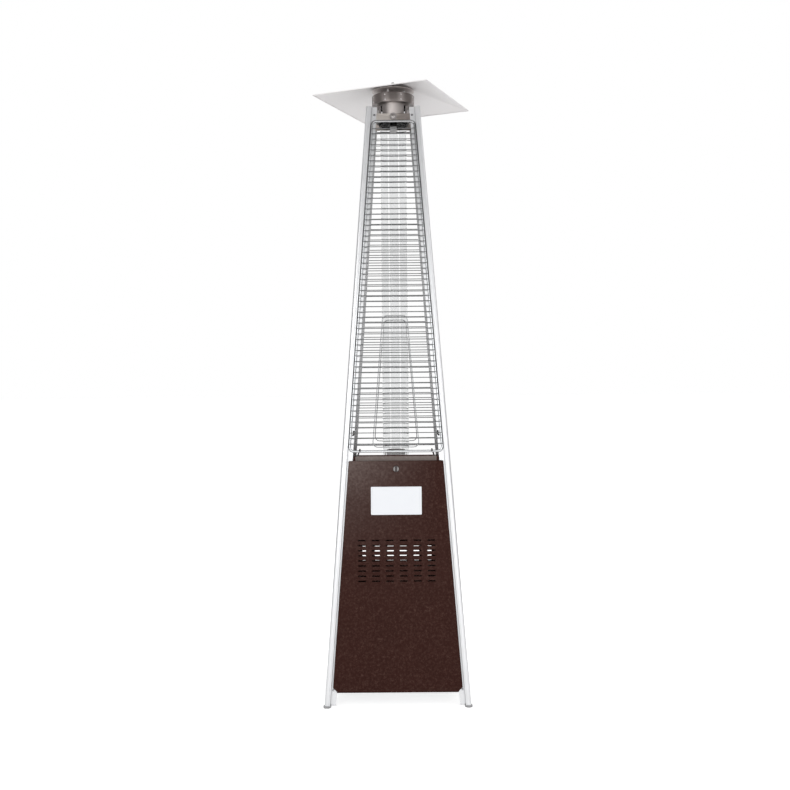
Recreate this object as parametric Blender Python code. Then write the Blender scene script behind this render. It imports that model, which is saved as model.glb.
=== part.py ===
import math
import bpy
import bmesh
from mathutils import Matrix, Vector

# Sizes are in metres. Height is up, the door looks towards minus Y.
# Every side leans in as it rises, so widths are kept as insets from the sloping outer corner.
BASE_HALF = 0.2628
TOP_HALF = 0.09945
POST_TOP = 2.178
LEAN_SHARE = (BASE_HALF - TOP_HALF) / POST_TOP
FIT_GAP = 0.0003
WELD_GAP = 0.00003
SHEET = 0.0015
THIN_SHEET = 0.0012
CUT_PAST = 0.004

# Corner posts
BEAD = 0.020
BEAD_ROUND = 0.007
BEAD_WALL = 0.0018
FLANGE_REACH = 0.040
FLANGE_WALL = 0.002
FLANGE_LOW = 0.0075
FOOT_HEIGHT = 0.007
FOOT_FLOOR = 0.003
FOOT_WALL = 0.0035

# Base panels, their tops and the pieces on them measured from the deck
DECK_TOP = 0.868
PANEL_INSET = 0.026
PANEL_DEPTH = 0.006
PANEL_LOW = 0.055
PANEL_DROP = 0.0005
PANEL_TOP = DECK_TOP - PANEL_DROP
PANEL_HEM = 0.012
DOOR_PROUD = 0.007
DOOR_TOP = DECK_TOP + DOOR_PROUD
CORNER_CUT = 0.010
SLOT_MARGIN = 0.050
SLOT_ROWS = 9
SLOT_STEP_X = 0.050
SLOT_STEP_Z = 0.0181
SLOT_WIDE = 0.029
SLOT_TALL = 0.005
SLOT_DROP = 0.278
SLOT_TOP = DECK_TOP - SLOT_DROP
REAR_SLOT_DROP = 0.0040
REAR_SLOT_TOP = SLOT_TOP - REAR_SLOT_DROP

# Door hinge and latch
HINGE_DEPTH = 0.011
HINGE_RISE = 0.0042
HINGE_PIN = 0.0025
HINGE_HOLE = 0.00265
HINGE_EAR = 0.002
HINGE_EAR_IN = 0.0292
HINGE_PLATE = 0.0014
HINGE_PLATE_TALL = 0.016
HINGE_PLATE_WIDE = 0.0095
HINGE_EAR_TALL = 0.0085
HINGE_EAR_DROP = 0.0026
HINGE_EAR_BEVEL = 0.001
HINGE_PIN_IN = 0.0242
RETURN_TOE = 0.002
LATCH_DROP = 0.022
LATCH_Z = DECK_TOP - LATCH_DROP
LATCH_HEAD = 0.0115
LATCH_FACE = 0.0092
LATCH_PROUD = 0.0035
LATCH_BARREL = 0.006
LATCH_HOLE = 0.0064
LATCH_LONG = 0.0205
LATCH_SLOT_WIDE = 0.002
LATCH_SLOT_LONG = 0.013
LATCH_SLOT_DEEP = 0.0015
CAM_LONG = 0.018
CAM_HALF = 0.005
CAM_THICK = 0.002

# Bare plate where the notice sits
PLATE_WIDE = 0.183
PLATE_DROP = 0.086
PLATE_TALL = 0.1005
PLATE_TOP = DECK_TOP - PLATE_DROP
PLATE_LOW = PLATE_TOP - PLATE_TALL
PLATE_THICK = 0.0004
PLATE_GAP = 0.0001

# Cylinder shelf and deck
SHELF_TOP = 0.100
SHELF_SKIRT = 0.020
DECK_SKIRT = 0.012
TRAY_GAP = 0.0006
UPSTAND_RISE = 0.0272
UPSTAND_TOP = DECK_TOP + UPSTAND_RISE
UPSTAND_SETBACK = 0.001
UPSTAND_HALF = 0.1390
UPSTAND_GAP = 0.0025
EAR_STEP = 0.005
UPSTAND_TURNS = (0, 1, 3)
DECK_HOLE = 0.0470

# Burner
PAN_FLANGE = 0.066
PAN_WELL = 0.0465
PAN_DROP = 0.068
PAN_LOW = DECK_TOP - PAN_DROP
PAN_STUB_HOLE = 0.0125
ROD_RADIUS_AT = 0.0402
ROD_HOLE = 0.0036
BURNER_RADIUS = 0.035
BURNER_SHOULDER = 0.018
BURNER_STUB = 0.012
BURNER_STUB_WALL = 0.0015
BURNER_STUB_LONG = 0.015
BURNER_LOW = PAN_LOW - BURNER_STUB_LONG
BURNER_NECK = 0.0215
BURNER_PLATE = PAN_LOW + BURNER_NECK
BURNER_RISE = 0.105
BURNER_TOP = PAN_LOW + BURNER_RISE
BURNER_CROWN = 0.012
BURNER_SIDE_TOP = BURNER_TOP - BURNER_CROWN
BURNER_CROWN_SHARES = ((1.0, 0.0), (0.955, 0.33), (0.80, 0.62), (0.5, 0.86), (0.22, 0.975))
ELECTRODE_TAIL = 0.010
ELECTRODE_LOW = PAN_LOW - ELECTRODE_TAIL
ELECTRODE_DROP = 0.004
ELECTRODE_TOP = BURNER_TOP - ELECTRODE_DROP
ELECTRODE_BARE = 0.017
ELECTRODE_NECK = ELECTRODE_TOP - ELECTRODE_BARE
ELECTRODE_RADIUS = 0.003
ELECTRODE_TIP = 0.0009
PROBE_TAIL = 0.020
PROBE_LOW = PAN_LOW - PROBE_TAIL
PROBE_DROP = 0.009
PROBE_TOP = BURNER_TOP - PROBE_DROP
PROBE_RADIUS = 0.0025
PROBE_COLLAR = 0.0032
PROBE_COLLAR_RISE = 0.0016
PROBE_COLLAR_LOW = PAN_LOW + PROBE_COLLAR_RISE
PROBE_COLLAR_TALL = 0.0244
PROBE_COLLAR_TOP = PROBE_COLLAR_LOW + PROBE_COLLAR_TALL
JET_LONG = 0.040
JET_LOW = BURNER_LOW - JET_LONG
JET_RADIUS = 0.009
JET_TIP = 0.0055
JET_HEXAGON = 0.027
JET_SHOULDER = JET_LOW + JET_HEXAGON

# Gas valve, pipe, inlet, knob and igniter
VALVE_DROP = 0.073
VALVE_Z = DECK_TOP - VALVE_DROP
VALVE_SETBACK = 0.053175
VALVE_LONG = 0.045
VALVE_HALF_X = 0.018
VALVE_HALF_Z = 0.020
VALVE_NECK = 0.010
STEM_RADIUS = 0.004
STEM_BORE = 0.0042
STEM_LONG_IN = 0.015
STEM_TRAVEL = 0.006
KNOB_GAP = 0.0068
KNOB_RADIUS = 0.022
KNOB_LONG = 0.018
KNOB_EDGE = 0.002
KNOB_GRIP_IN = 0.004
KNOB_GRIP_HALF = 0.0055
KNOB_GRIP_TALL = 0.009
KNOB_HOLE = 0.0056
PIPE_RADIUS = 0.004
PIPE_RISE = 0.011
PIPE_Z = JET_LOW + PIPE_RISE
PIPE_BEND_SHARES = (0.382, 0.744)
INLET_DROP = 0.060
INLET_LOW = VALVE_Z - INLET_DROP
INLET_RADIUS = 0.0085
INLET_BARB = 0.0062
INLET_ROOT = 0.005
INLET_BORE = 0.0035
INLET_BACK = 0.022
IGNITER_X = 0.068
IGNITER_BODY = 0.011
IGNITER_LONG = 0.045
IGNITER_NECK = 0.0088
IGNITER_HOLE = 0.0097
IGNITER_RIM = 0.005
BUTTON_RADIUS = 0.0066
BUTTON_BORE = 0.0070
BUTTON_LONG = 0.022
BUTTON_PROUD = 0.0060
IGNITER_FLOOR = 0.010

# Glass tube, standing on the deck and ending below the post tops
GLASS_RADIUS = 0.050
GLASS_WALL = 0.003
GLASS_RISE = 0.0049
GLASS_LOW = DECK_TOP + GLASS_RISE
GLASS_DROP = 0.0471
GLASS_TOP = POST_TOP - GLASS_DROP
SEAL_IN = 0.0467
SEAL_OUT = 0.0530
RING_RADIUS = 0.0535
RING_LIP = 0.008
RING_LIP_IN = 0.0515
RING_EYE = 0.016
RING_HOLES = 8
RING_HOLE = 0.0095
RING_HOLE_AT = 0.032
TAB_COUNT = 2
TAB_WIDE = 0.025
TAB_LONG = 0.0509
TAB_LOW = GLASS_TOP - TAB_LONG
TAB_AT = 0.0445

# Wire guards
GUARD_INSET = 0.0222
RAIL = 0.005
WIRE = 0.003
GUARD_THICK = 0.004
GUARD_RISE = 0.0385
GUARD_LOW = DECK_TOP + GUARD_RISE
GUARD_DROP = 0.0515
GUARD_TOP = POST_TOP - GUARD_DROP
GUARD_CUT = 0.006
WIRE_RISE = 0.0296
WIRE_FIRST = GUARD_LOW + WIRE_RISE
WIRE_STEP = 0.020
WIRE_TOP_GAP = 0.025
WIRE_COUNT = 1 + int((GUARD_TOP - WIRE_TOP_GAP - WIRE_FIRST) / WIRE_STEP)
LOOP_INSET = 0.1118
LOOP_RISE = 0.0138
LOOP_LOW = GUARD_LOW + LOOP_RISE
LOOP_TOP_SHARE = 23.345
LOOP_TOP = WIRE_FIRST + WIRE_STEP * LOOP_TOP_SHARE

# Head, each piece placed from the one below it
BAR_DROP = 0.047
BAR_LOW = POST_TOP - BAR_DROP
BAR_TALL = 0.024
BAR_TOP = BAR_LOW + BAR_TALL
BAR_SCREW_RISE = 0.0135
BAR_SCREW_Z = BAR_LOW + BAR_SCREW_RISE
BAR_SCREW_HOLE = 0.0034
SCREW_RADIUS = 0.003
SCREW_HEAD = 0.008
SCREW_FACE = 0.0048
SCREW_TAIL_GAP = 0.0009
SCREW_HEAD_TALL = 0.003
CUP_RADIUS = 0.0615
CUP_RISE = 0.005
CUP_LOW = BAR_LOW + CUP_RISE
CUP_TALL = 0.0654
CUP_TOP = CUP_LOW + CUP_TALL
CUP_FLOOR_IN = 0.0545
CUP_SLOT_TALL = 0.034
CUP_SLOT_DROP = 0.0074
CUP_SLOT_TOP = CUP_TOP - CUP_SLOT_DROP
CUP_SLOT_LOW = CUP_SLOT_TOP - CUP_SLOT_TALL
CUP_SLOT_WIDE = 0.008
CUP_SLOT_ANGLES = (45, 68, 112, 135)
DRUM_RADIUS = 0.0795
DRUM_LOW = CUP_TOP + FIT_GAP
DRUM_TALL = 0.0353
DRUM_TOP = DRUM_LOW + DRUM_TALL
DRUM_MOUTH = 0.052
STUD_COUNT = 4
STUD_TALL = 0.0175
STUD_RADIUS = 0.004
STUD_AT = 0.046
HEAD_TURN = math.radians(-23.2)
DISC_RADIUS = 0.079
DISC_LOW = DRUM_TOP + STUD_TALL
BOLT_RADIUS = 0.004
BOLT_HOLE = 0.0044
BOLT_HEAD = 0.0065
BOLT_HEAD_TALL = 0.005
SHADE_HALF = 0.2254
SHADE_DROP = 0.0385
SHADE_RIM = DISC_LOW - SHADE_DROP
SHADE_APEX_RISE = 0.072
SHADE_FLAT_HALF = 0.013
SHADE_LIP = 0.003
NUT_RADIUS = 0.0065
NUT_CROWN = 0.0039
NUT_WASHER = 0.011
NUT_WASHER_TALL = 0.0015
NUT_TALL = 0.0075

# Facets of the round pieces
FINE = 40
ROUND = 28
SMALL = 16
COARSE = 12
HEXAGON = 6
ARC_STEPS = 5


def wipe_scene():
    for old in list(bpy.data.objects):
        bpy.data.objects.remove(old, do_unlink=True)
    hidden = bpy.data.collections.new("cutters")
    bpy.context.scene.collection.children.link(hidden)
    hidden.hide_render = True
    return hidden


CUTTERS = wipe_scene()


def half_at(height):
    return BASE_HALF - LEAN_SHARE * height


def make_material(name, color, metallic, roughness, alpha=1.0):
    material = bpy.data.materials.new(name)
    material.use_nodes = True
    shader = material.node_tree.nodes["Principled BSDF"]
    shader.inputs["Base Color"].default_value = (*color, 1)
    shader.inputs["Metallic"].default_value = metallic
    shader.inputs["Roughness"].default_value = roughness
    shader.inputs["Alpha"].default_value = alpha
    return material


FINISHES = {
    "aluminium": ((0.80, 0.80, 0.82), 1.0, 0.32),
    "stainless": ((0.55, 0.52, 0.50), 1.0, 0.30),
    "bronze": ((0.060, 0.026, 0.020), 0.3, 0.45),
    "chrome": ((0.62, 0.62, 0.63), 1.0, 0.18),
    "black": ((0.012, 0.012, 0.012), 0.0, 0.55),
    "white": ((0.85, 0.85, 0.85), 0.0, 0.50),
    "brass": ((0.60, 0.42, 0.16), 1.0, 0.30),
    "galvanised": ((0.45, 0.46, 0.47), 1.0, 0.45),
    "rubber": ((0.30, 0.05, 0.03), 0.0, 0.80),
    "glass": ((0.90, 0.93, 0.93), 0.0, 0.03, 0.35),
    "ceramic": ((0.85, 0.83, 0.78), 0.0, 0.35),
}


def add_object(name, mesh, finish):
    mesh.name = name
    made = bpy.data.objects.new(name, mesh)
    mesh.materials.append(make_material(name + "_" + finish, *FINISHES[finish]))
    bpy.context.scene.collection.objects.link(made)
    return made


def add_cutter(name, mesh):
    made = bpy.data.objects.new(name, mesh)
    CUTTERS.objects.link(made)
    made.hide_render = True
    made.display_type = "WIRE"
    return made


def boolean(target, tool, operation="DIFFERENCE"):
    step = target.modifiers.new(tool.name, "BOOLEAN")
    step.operation = operation
    step.solver = "EXACT"
    step.object = tool
    return target


def face_outwards(build):
    bmesh.ops.recalc_face_normals(build, faces=build.faces)
    if build.calc_volume(signed=True) < 0:
        bmesh.ops.reverse_faces(build, faces=build.faces)


def finish_mesh(build, name, turn_faces=True):
    if turn_faces:
        face_outwards(build)
    mesh = bpy.data.meshes.new(name)
    build.to_mesh(mesh)
    build.free()
    return mesh


def prism_mesh(name, ring, low, high, place=None):
    """A straight prism over a closed ring of (x, y); place bends each corner to its spot."""
    build = bmesh.new()
    spot = place or (lambda x, y, z: (x, y, z))
    under = [build.verts.new(spot(x, y, low)) for x, y in ring]
    over = [build.verts.new(spot(x, y, high)) for x, y in ring]
    build.faces.new(list(reversed(under)))
    build.faces.new(over)
    for k in range(len(ring)):
        n = (k + 1) % len(ring)
        build.faces.new((under[k], under[n], over[n], over[k]))
    return finish_mesh(build, name)


def corner_spot(turns):
    """Insets from the sloping outer corner, turned onto one of the four corners."""
    turn = Matrix.Rotation(math.radians(90 * turns), 4, "Z")

    def spot(u, v, z):
        return turn @ Vector((half_at(z) - u, v - half_at(z), z))
    return spot


def face_spot(turns):
    """Across, depth from the sloping outer plane, and height, turned onto one of the four sides."""
    turn = Matrix.Rotation(math.radians(90 * turns), 4, "Z")

    def spot(x, depth, z):
        return turn @ Vector((x, depth - half_at(z), z))
    return spot


def box_ring(x0, x1, y0, y1):
    return [(x0, y0), (x1, y0), (x1, y1), (x0, y1)]


def arc(cx, cy, radius, start, stop, steps):
    points = []
    for k in range(steps + 1):
        angle = math.radians(start + (stop - start) * k / steps)
        points.append((cx + radius * math.cos(angle), cy + radius * math.sin(angle)))
    return points


def circle(radius, steps, cx=0, cy=0):
    half_step = 180 / steps
    return arc(cx, cy, radius, half_step, 360 - half_step, steps - 1)


def spun_mesh(name, profile, steps, spin_axis="Z"):
    """A closed ring of (radius, height) turned about an axis; corners on the axis are shared."""
    build = bmesh.new()
    columns = []
    shared = {}
    for s in range(steps):
        angle = 2 * math.pi * s / steps
        column = []
        for k, (radius, height) in enumerate(profile):
            if radius == 0:
                if k not in shared:
                    shared[k] = build.verts.new((0, 0, height))
                column.append(shared[k])
            else:
                spot = (radius * math.cos(angle), radius * math.sin(angle), height)
                column.append(build.verts.new(spot))
        columns.append(column)
    count = len(profile)
    for s in range(steps):
        here, there = columns[s], columns[(s + 1) % steps]
        for k in range(count):
            n = (k + 1) % count
            corners = [here[k], here[n], there[n], there[k]]
            kept = []
            for corner in corners:
                if corner not in kept:
                    kept.append(corner)
            if len(kept) > 2:
                build.faces.new(kept)
    if spin_axis == "Y":
        turn = Matrix.Rotation(math.radians(-90), 4, "X")
        bmesh.ops.transform(build, matrix=turn, verts=build.verts)
    return finish_mesh(build, name)


def move_mesh(mesh, x, y, z):
    mesh.transform(Matrix.Translation((x, y, z)))
    return mesh


def lattice_mesh(name, columns, levels, solid, near, far, spot):
    """A flat sheet of cells between sloping columns and level rows; empty cells stay open."""
    build = bmesh.new()
    store = {}

    def corner(i, j, k):
        key = (i, j, k)
        if key not in store:
            side, inset = columns[i]
            z, pull = levels[j]
            across = side * (half_at(z) - inset - pull * (i in (0, len(columns) - 1)))
            store[key] = build.verts.new(spot(across if side else inset, (near, far)[k], z))
        return store[key]

    wide, tall = len(columns) - 1, len(levels) - 1

    def filled(i, j):
        return 0 <= i < wide and 0 <= j < tall and solid(i, j)

    def rim(start, end):
        build.faces.new([corner(*start, 0), corner(*start, 1), corner(*end, 1), corner(*end, 0)])

    for i in range(wide):
        for j in range(tall):
            if not filled(i, j):
                continue
            cell = [(i, j), (i + 1, j), (i + 1, j + 1), (i, j + 1)]
            for k in (0, 1):
                build.faces.new([corner(*place, k) for place in cell])
            if not filled(i - 1, j):
                rim(cell[0], cell[3])
            if not filled(i + 1, j):
                rim(cell[1], cell[2])
            if not filled(i, j - 1):
                rim(cell[0], cell[1])
            if not filled(i, j + 1):
                rim(cell[3], cell[2])
    face_outwards(build)
    bmesh.ops.dissolve_limit(build, angle_limit=math.radians(0.05), verts=build.verts, edges=build.edges)
    return finish_mesh(build, name, False)


# Corner posts and feet
def bead_ring(grow):
    """The rounded corner bead, grown outwards or shrunk inwards by one amount."""
    low, high, rounding = -grow, BEAD + grow, BEAD_ROUND + grow
    ring = arc(low + rounding, low + rounding, rounding, 180, 270, ARC_STEPS)
    return ring + [(high, low), (high, high), (low, high)]


def post_ring():
    back = BEAD - FLANGE_WALL
    ring = arc(BEAD_ROUND, BEAD_ROUND, BEAD_ROUND, 180, 270, ARC_STEPS)
    ring += [(BEAD, 0), (BEAD, back), (FLANGE_REACH, back), (FLANGE_REACH, BEAD), (BEAD, BEAD)]
    return ring + [(BEAD, FLANGE_REACH), (back, FLANGE_REACH), (back, BEAD), (0, BEAD)]


def add_post(name, turns):
    spot = corner_spot(turns)
    low = FOOT_FLOOR + FIT_GAP
    post = add_object(name, prism_mesh(name, post_ring(), low, POST_TOP, spot), "aluminium")
    hollow = bead_ring(-BEAD_WALL)
    hollow_mesh = prism_mesh(name + "_bore", hollow, -CUT_PAST, POST_TOP + CUT_PAST, spot)
    boolean(post, add_cutter(name + "_bore", hollow_mesh))
    past, clear = FLANGE_REACH + CUT_PAST, -CUT_PAST
    ell = [(BEAD, clear), (past, clear), (past, past), (clear, past), (clear, BEAD), (BEAD, BEAD)]
    trim = prism_mesh(name + "_trim", ell, -CUT_PAST, FLANGE_LOW, spot)
    boolean(post, add_cutter(name + "_trim", trim))
    return post


def add_foot(name, turns):
    spot = corner_spot(turns)
    grow = FOOT_WALL
    foot = add_object(name, prism_mesh(name, bead_ring(grow), 0, FOOT_HEIGHT, spot), "black")
    pocket = prism_mesh(name + "_pocket", bead_ring(FIT_GAP), FOOT_FLOOR, FOOT_HEIGHT + CUT_PAST, spot)
    return boolean(foot, add_cutter(name + "_pocket", pocket))


# Base panels
def slot_edges(top_row):
    """As many slot columns as the panel's width leaves room for."""
    columns = []
    room = half_at(top_row) - PANEL_INSET - SLOT_MARGIN - SLOT_WIDE / 2
    count = 1 + int(2 * room / SLOT_STEP_X)
    for k in range(count):
        middle = (k - (count - 1) / 2) * SLOT_STEP_X
        columns += [(0, middle - SLOT_WIDE / 2), (0, middle + SLOT_WIDE / 2)]
    rows = []
    for k in range(SLOT_ROWS):
        middle = top_row - (SLOT_ROWS - 1 - k) * SLOT_STEP_Z
        rows += [(middle - SLOT_TALL / 2, 0), (middle + SLOT_TALL / 2, 0)]
    return columns, rows


def panel_sheet(name, top, top_row, spot):
    """A leaning sheet, with vent slots where it has a top row of them."""
    columns, rows = slot_edges(top_row) if top_row else ([], [])
    columns = [(-1, PANEL_INSET)] + columns + [(1, PANEL_INSET)]
    levels = [(PANEL_LOW, CORNER_CUT), (PANEL_LOW + CORNER_CUT, 0)] + rows + [(top, 0)]

    def solid(i, j):
        slot_row = j >= 2 and j % 2 == 0 and j < len(levels) - 2
        slot_column = i % 2 == 1 and i < len(columns) - 2
        return not (top_row and slot_row and slot_column)
    return lattice_mesh(name, columns, levels, solid, PANEL_DEPTH, PANEL_DEPTH + SHEET, spot)


def return_mesh(name, side, low, top, spot):
    """The folded edge of a panel, running back towards the post flange."""
    back = BEAD - FLANGE_WALL - FIT_GAP
    inside = PANEL_DEPTH + SHEET / 2
    build = bmesh.new()
    toe = low + back - PANEL_DEPTH - RETURN_TOE
    outline = [(inside, low), (PANEL_DEPTH + RETURN_TOE, low), (back, toe), (back, top), (inside, top)]
    rows = []
    for inset in (PANEL_INSET, PANEL_INSET + SHEET):
        rows.append([build.verts.new(spot(side * (half_at(z) - inset), depth, z)) for depth, z in outline])
    build.faces.new(rows[0])
    build.faces.new(list(reversed(rows[1])))
    for k in range(len(outline)):
        n = (k + 1) % len(outline)
        build.faces.new((rows[0][k], rows[1][k], rows[1][n], rows[0][n]))
    return finish_mesh(build, name)


def hem_mesh(name, z_low, z_high, spot):
    """An inward fold along a level edge of a panel."""
    build = bmesh.new()
    corners = []
    inside, back = PANEL_DEPTH + SHEET / 2, PANEL_DEPTH + PANEL_HEM
    for z in (z_low, z_high):
        wide = half_at(z) - PANEL_INSET - CORNER_CUT - SHEET
        corners.append([build.verts.new(spot(x, d, z)) for x, d in box_ring(-wide, wide, inside, back)])
    build.faces.new(corners[0])
    build.faces.new(list(reversed(corners[1])))
    for k in range(4):
        n = (k + 1) % 4
        build.faces.new((corners[0][k], corners[1][k], corners[1][n], corners[0][n]))
    return finish_mesh(build, name)


def add_panel(name, turns, top, top_row, return_low):
    spot = face_spot(turns)
    panel = add_object(name, panel_sheet(name, top, top_row, spot), "bronze")
    for side, word in ((-1, "left"), (1, "right")):
        fold = return_mesh(name + "_fold_" + word, side, return_low, top, spot)
        boolean(panel, add_cutter(name + "_fold_" + word, fold), "UNION")
    return panel


def add_fixed_panel(name, turns, top_row=None):
    panel = add_panel(name, turns, PANEL_TOP, top_row, PANEL_LOW + CORNER_CUT)
    hem = hem_mesh(name + "_hem", PANEL_LOW, PANEL_LOW + SHEET, face_spot(turns))
    return boolean(panel, add_cutter(name + "_hem", hem), "UNION")


# Door, hinge brackets and latch
def hinge_axis():
    z = PANEL_LOW + HINGE_RISE
    return Vector((0, HINGE_DEPTH - half_at(z), z))


def add_door():
    axis = hinge_axis()
    spot = face_spot(0)
    low = PANEL_LOW
    door = add_panel("door_panel", 0, DOOR_TOP, SLOT_TOP, low + FIT_GAP)
    reach = half_at(0)
    pin_hole = spun_mesh("door_pin_hole", rod_profile(HINGE_HOLE, -reach, reach), SMALL)
    pin_hole.transform(Matrix.Translation(axis) @ Matrix.Rotation(math.radians(90), 4, "Y"))
    boolean(door, add_cutter("door_pin_hole", pin_hole))
    bore = spun_mesh("door_latch_hole", rod_profile(LATCH_HOLE, -CUT_PAST, PANEL_DEPTH), SMALL)
    bore.transform(latch_frame())
    boolean(door, add_cutter("door_latch_hole", bore))
    return set_origin(door, axis)


def rod_profile(radius, low, high):
    return [(0, low), (radius, low), (radius, high), (0, high)]


def tube_profile(inner, outer, low, high):
    return [(inner, low), (outer, low), (outer, high), (inner, high)]


def set_origin(made, origin):
    """Moves the piece's own origin onto its joint without moving the piece, cutters included."""
    made.data.transform(Matrix.Translation(-origin))
    made.location = origin
    return made


def add_bracket(name, side):
    axis = hinge_axis()
    edge = half_at(axis.z)
    back = axis.y - HINGE_DEPTH + BEAD - FLANGE_WALL - FIT_GAP
    ear_out, ear_in = edge - HINGE_EAR_IN, edge - HINGE_EAR_IN - HINGE_EAR
    low, top = axis.z - HINGE_EAR_DROP, axis.z + HINGE_PLATE_TALL
    front = axis.y - HINGE_EAR_DROP
    bevel = HINGE_EAR_BEVEL
    outline = [(front, low + bevel), (front + bevel, low), (back, axis.z), (back, top)]
    inner = back - HINGE_PLATE
    outline += [(inner, top), (inner, axis.z + HINGE_EAR_TALL), (front, axis.z + HINGE_EAR_DROP)]
    ear = side_prism(name, outline, ear_in, ear_out, axis.z)
    plate_ring = [(inner, axis.z), (back, axis.z), (back, top), (inner, top)]
    middle = (ear_in + ear_out) / 2
    plate = side_prism(name + "_plate", plate_ring, ear_in - HINGE_PLATE_WIDE, middle, axis.z)
    pin = spun_mesh(name + "_pin", rod_profile(HINGE_PIN, middle, edge - HINGE_PIN_IN), SMALL)
    pin.transform(Matrix.Translation((0, axis.y, axis.z)) @ Matrix.Rotation(math.radians(90), 4, "Y"))
    meshes = (ear, plate, pin)
    if side < 0:
        for mesh in meshes:
            mesh.transform(Matrix.Rotation(math.radians(180), 4, "Z"))
            mesh.transform(Matrix.Scale(-1, 4, (0, 1, 0)))
            mesh.flip_normals()
    made = add_object(name, ear, "galvanised")
    boolean(made, add_cutter(name + "_plate", plate), "UNION")
    return boolean(made, add_cutter(name + "_pin", pin), "UNION")


def side_prism(name, outline, x_low, x_high, level):
    """A prism across X over an outline of (y, z); y follows the lean of the flange above the level."""
    build = bmesh.new()
    rows = []
    for x in (x_low, x_high):
        row = []
        for y, z in outline:
            row.append(build.verts.new((x, y + LEAN_SHARE * (z - level), z)))
        rows.append(row)
    build.faces.new(rows[0])
    build.faces.new(list(reversed(rows[1])))
    for k in range(len(outline)):
        n = (k + 1) % len(outline)
        build.faces.new((rows[0][k], rows[1][k], rows[1][n], rows[0][n]))
    return finish_mesh(build, name)


def lean_angle():
    return math.atan(LEAN_SHARE)


def latch_frame():
    """Z of this frame runs inwards, square to the leaning door, from the door's outer face."""
    spot = Vector((0, PANEL_DEPTH - half_at(LATCH_Z), LATCH_Z))
    return Matrix.Translation(spot) @ Matrix.Rotation(math.radians(-90) - lean_angle(), 4, "X")


def add_latch():
    profile = [(0, -LATCH_PROUD), (LATCH_FACE, -LATCH_PROUD), (LATCH_HEAD, -LATCH_PROUD / 2)]
    profile += [(LATCH_HEAD, -FIT_GAP), (LATCH_BARREL, -FIT_GAP)]
    profile += [(LATCH_BARREL, LATCH_LONG), (0, LATCH_LONG)]
    barrel = add_object("door_latch", spun_mesh("door_latch", profile, ROUND), "galvanised")
    wide, long = LATCH_SLOT_WIDE / 2, LATCH_SLOT_LONG / 2
    slot = box_ring(-wide, wide, -long, long)
    top = LATCH_SLOT_DEEP - LATCH_PROUD
    slot_mesh = prism_mesh("latch_slot", slot, -LATCH_PROUD - CUT_PAST, top)
    cam_ring = box_ring(-CAM_HALF, CAM_LONG, -CAM_HALF, CAM_HALF)
    cam_mesh = prism_mesh("latch_cam", cam_ring, LATCH_LONG - CAM_THICK, LATCH_LONG)
    frame = latch_frame()
    for mesh in (barrel.data, slot_mesh, cam_mesh):
        mesh.transform(frame)
    boolean(barrel, add_cutter("latch_slot", slot_mesh))
    boolean(barrel, add_cutter("latch_cam", cam_mesh), "UNION")
    return set_origin(barrel, frame.translation)


def add_notice_plate():
    spot = face_spot(0)
    columns = [(0, -PLATE_WIDE / 2), (0, PLATE_WIDE / 2)]
    levels = [(PLATE_LOW, 0), (PLATE_TOP, 0)]
    far = PANEL_DEPTH - PLATE_GAP
    mesh = lattice_mesh("notice_plate", columns, levels, lambda i, j: True, far - PLATE_THICK, far, spot)
    return add_object("notice_plate", mesh, "white")


# Cylinder shelf and deck
def tray_mesh(name, half, top, skirt):
    """A flat square sheet with its four edges folded down."""
    build = bmesh.new()
    rings = []
    low, inner = top - skirt, half - SHEET
    for reach, z in ((half, low), (half, top), (inner, low), (inner, top - SHEET)):
        rings.append([build.verts.new((x, y, z)) for x, y in box_ring(-reach, reach, -reach, reach)])
    outer_low, outer_top, inner_low, inner_top = rings
    build.faces.new(outer_top)
    build.faces.new(list(reversed(inner_top)))
    for k in range(4):
        n = (k + 1) % 4
        build.faces.new((outer_low[k], outer_low[n], outer_top[n], outer_top[k]))
        build.faces.new((inner_low[k], inner_top[k], inner_top[n], inner_low[n]))
        build.faces.new((outer_low[k], inner_low[k], inner_low[n], outer_low[n]))
    return finish_mesh(build, name)


def add_shelf():
    half = half_at(SHELF_TOP) - BEAD - TRAY_GAP
    mesh = tray_mesh("cylinder_shelf", half, SHELF_TOP, SHELF_SKIRT)
    return add_object("cylinder_shelf", mesh, "galvanised")


def add_deck():
    half = half_at(DECK_TOP) - BEAD - TRAY_GAP
    deck = add_object("deck_plate", tray_mesh("deck_plate", half, DECK_TOP, DECK_SKIRT), "bronze")
    hole = prism_mesh("deck_hole", circle(DECK_HOLE, FINE), DECK_TOP - DECK_SKIRT, DECK_TOP + CUT_PAST)
    boolean(deck, add_cutter("deck_hole", hole))
    near = half - UPSTAND_SETBACK
    ear = half_at(DECK_TOP) - FLANGE_REACH - UPSTAND_GAP
    low, ear_top = DECK_TOP - SHEET / 2, UPSTAND_TOP - EAR_STEP
    right = [(ear, low), (ear, ear_top), (UPSTAND_HALF, ear_top), (UPSTAND_HALF, UPSTAND_TOP)]
    blade = right + [(-x, z) for x, z in reversed(right)]
    for k in UPSTAND_TURNS:
        name = "deck_upstand_%d" % k
        fold = prism_mesh(name, blade, near - SHEET, near)
        fold.transform(Matrix.Rotation(math.radians(90), 4, "X"))
        fold.transform(Matrix.Rotation(math.radians(90 * k), 4, "Z"))
        boolean(deck, add_cutter(name, fold), "UNION")
    return deck


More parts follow.
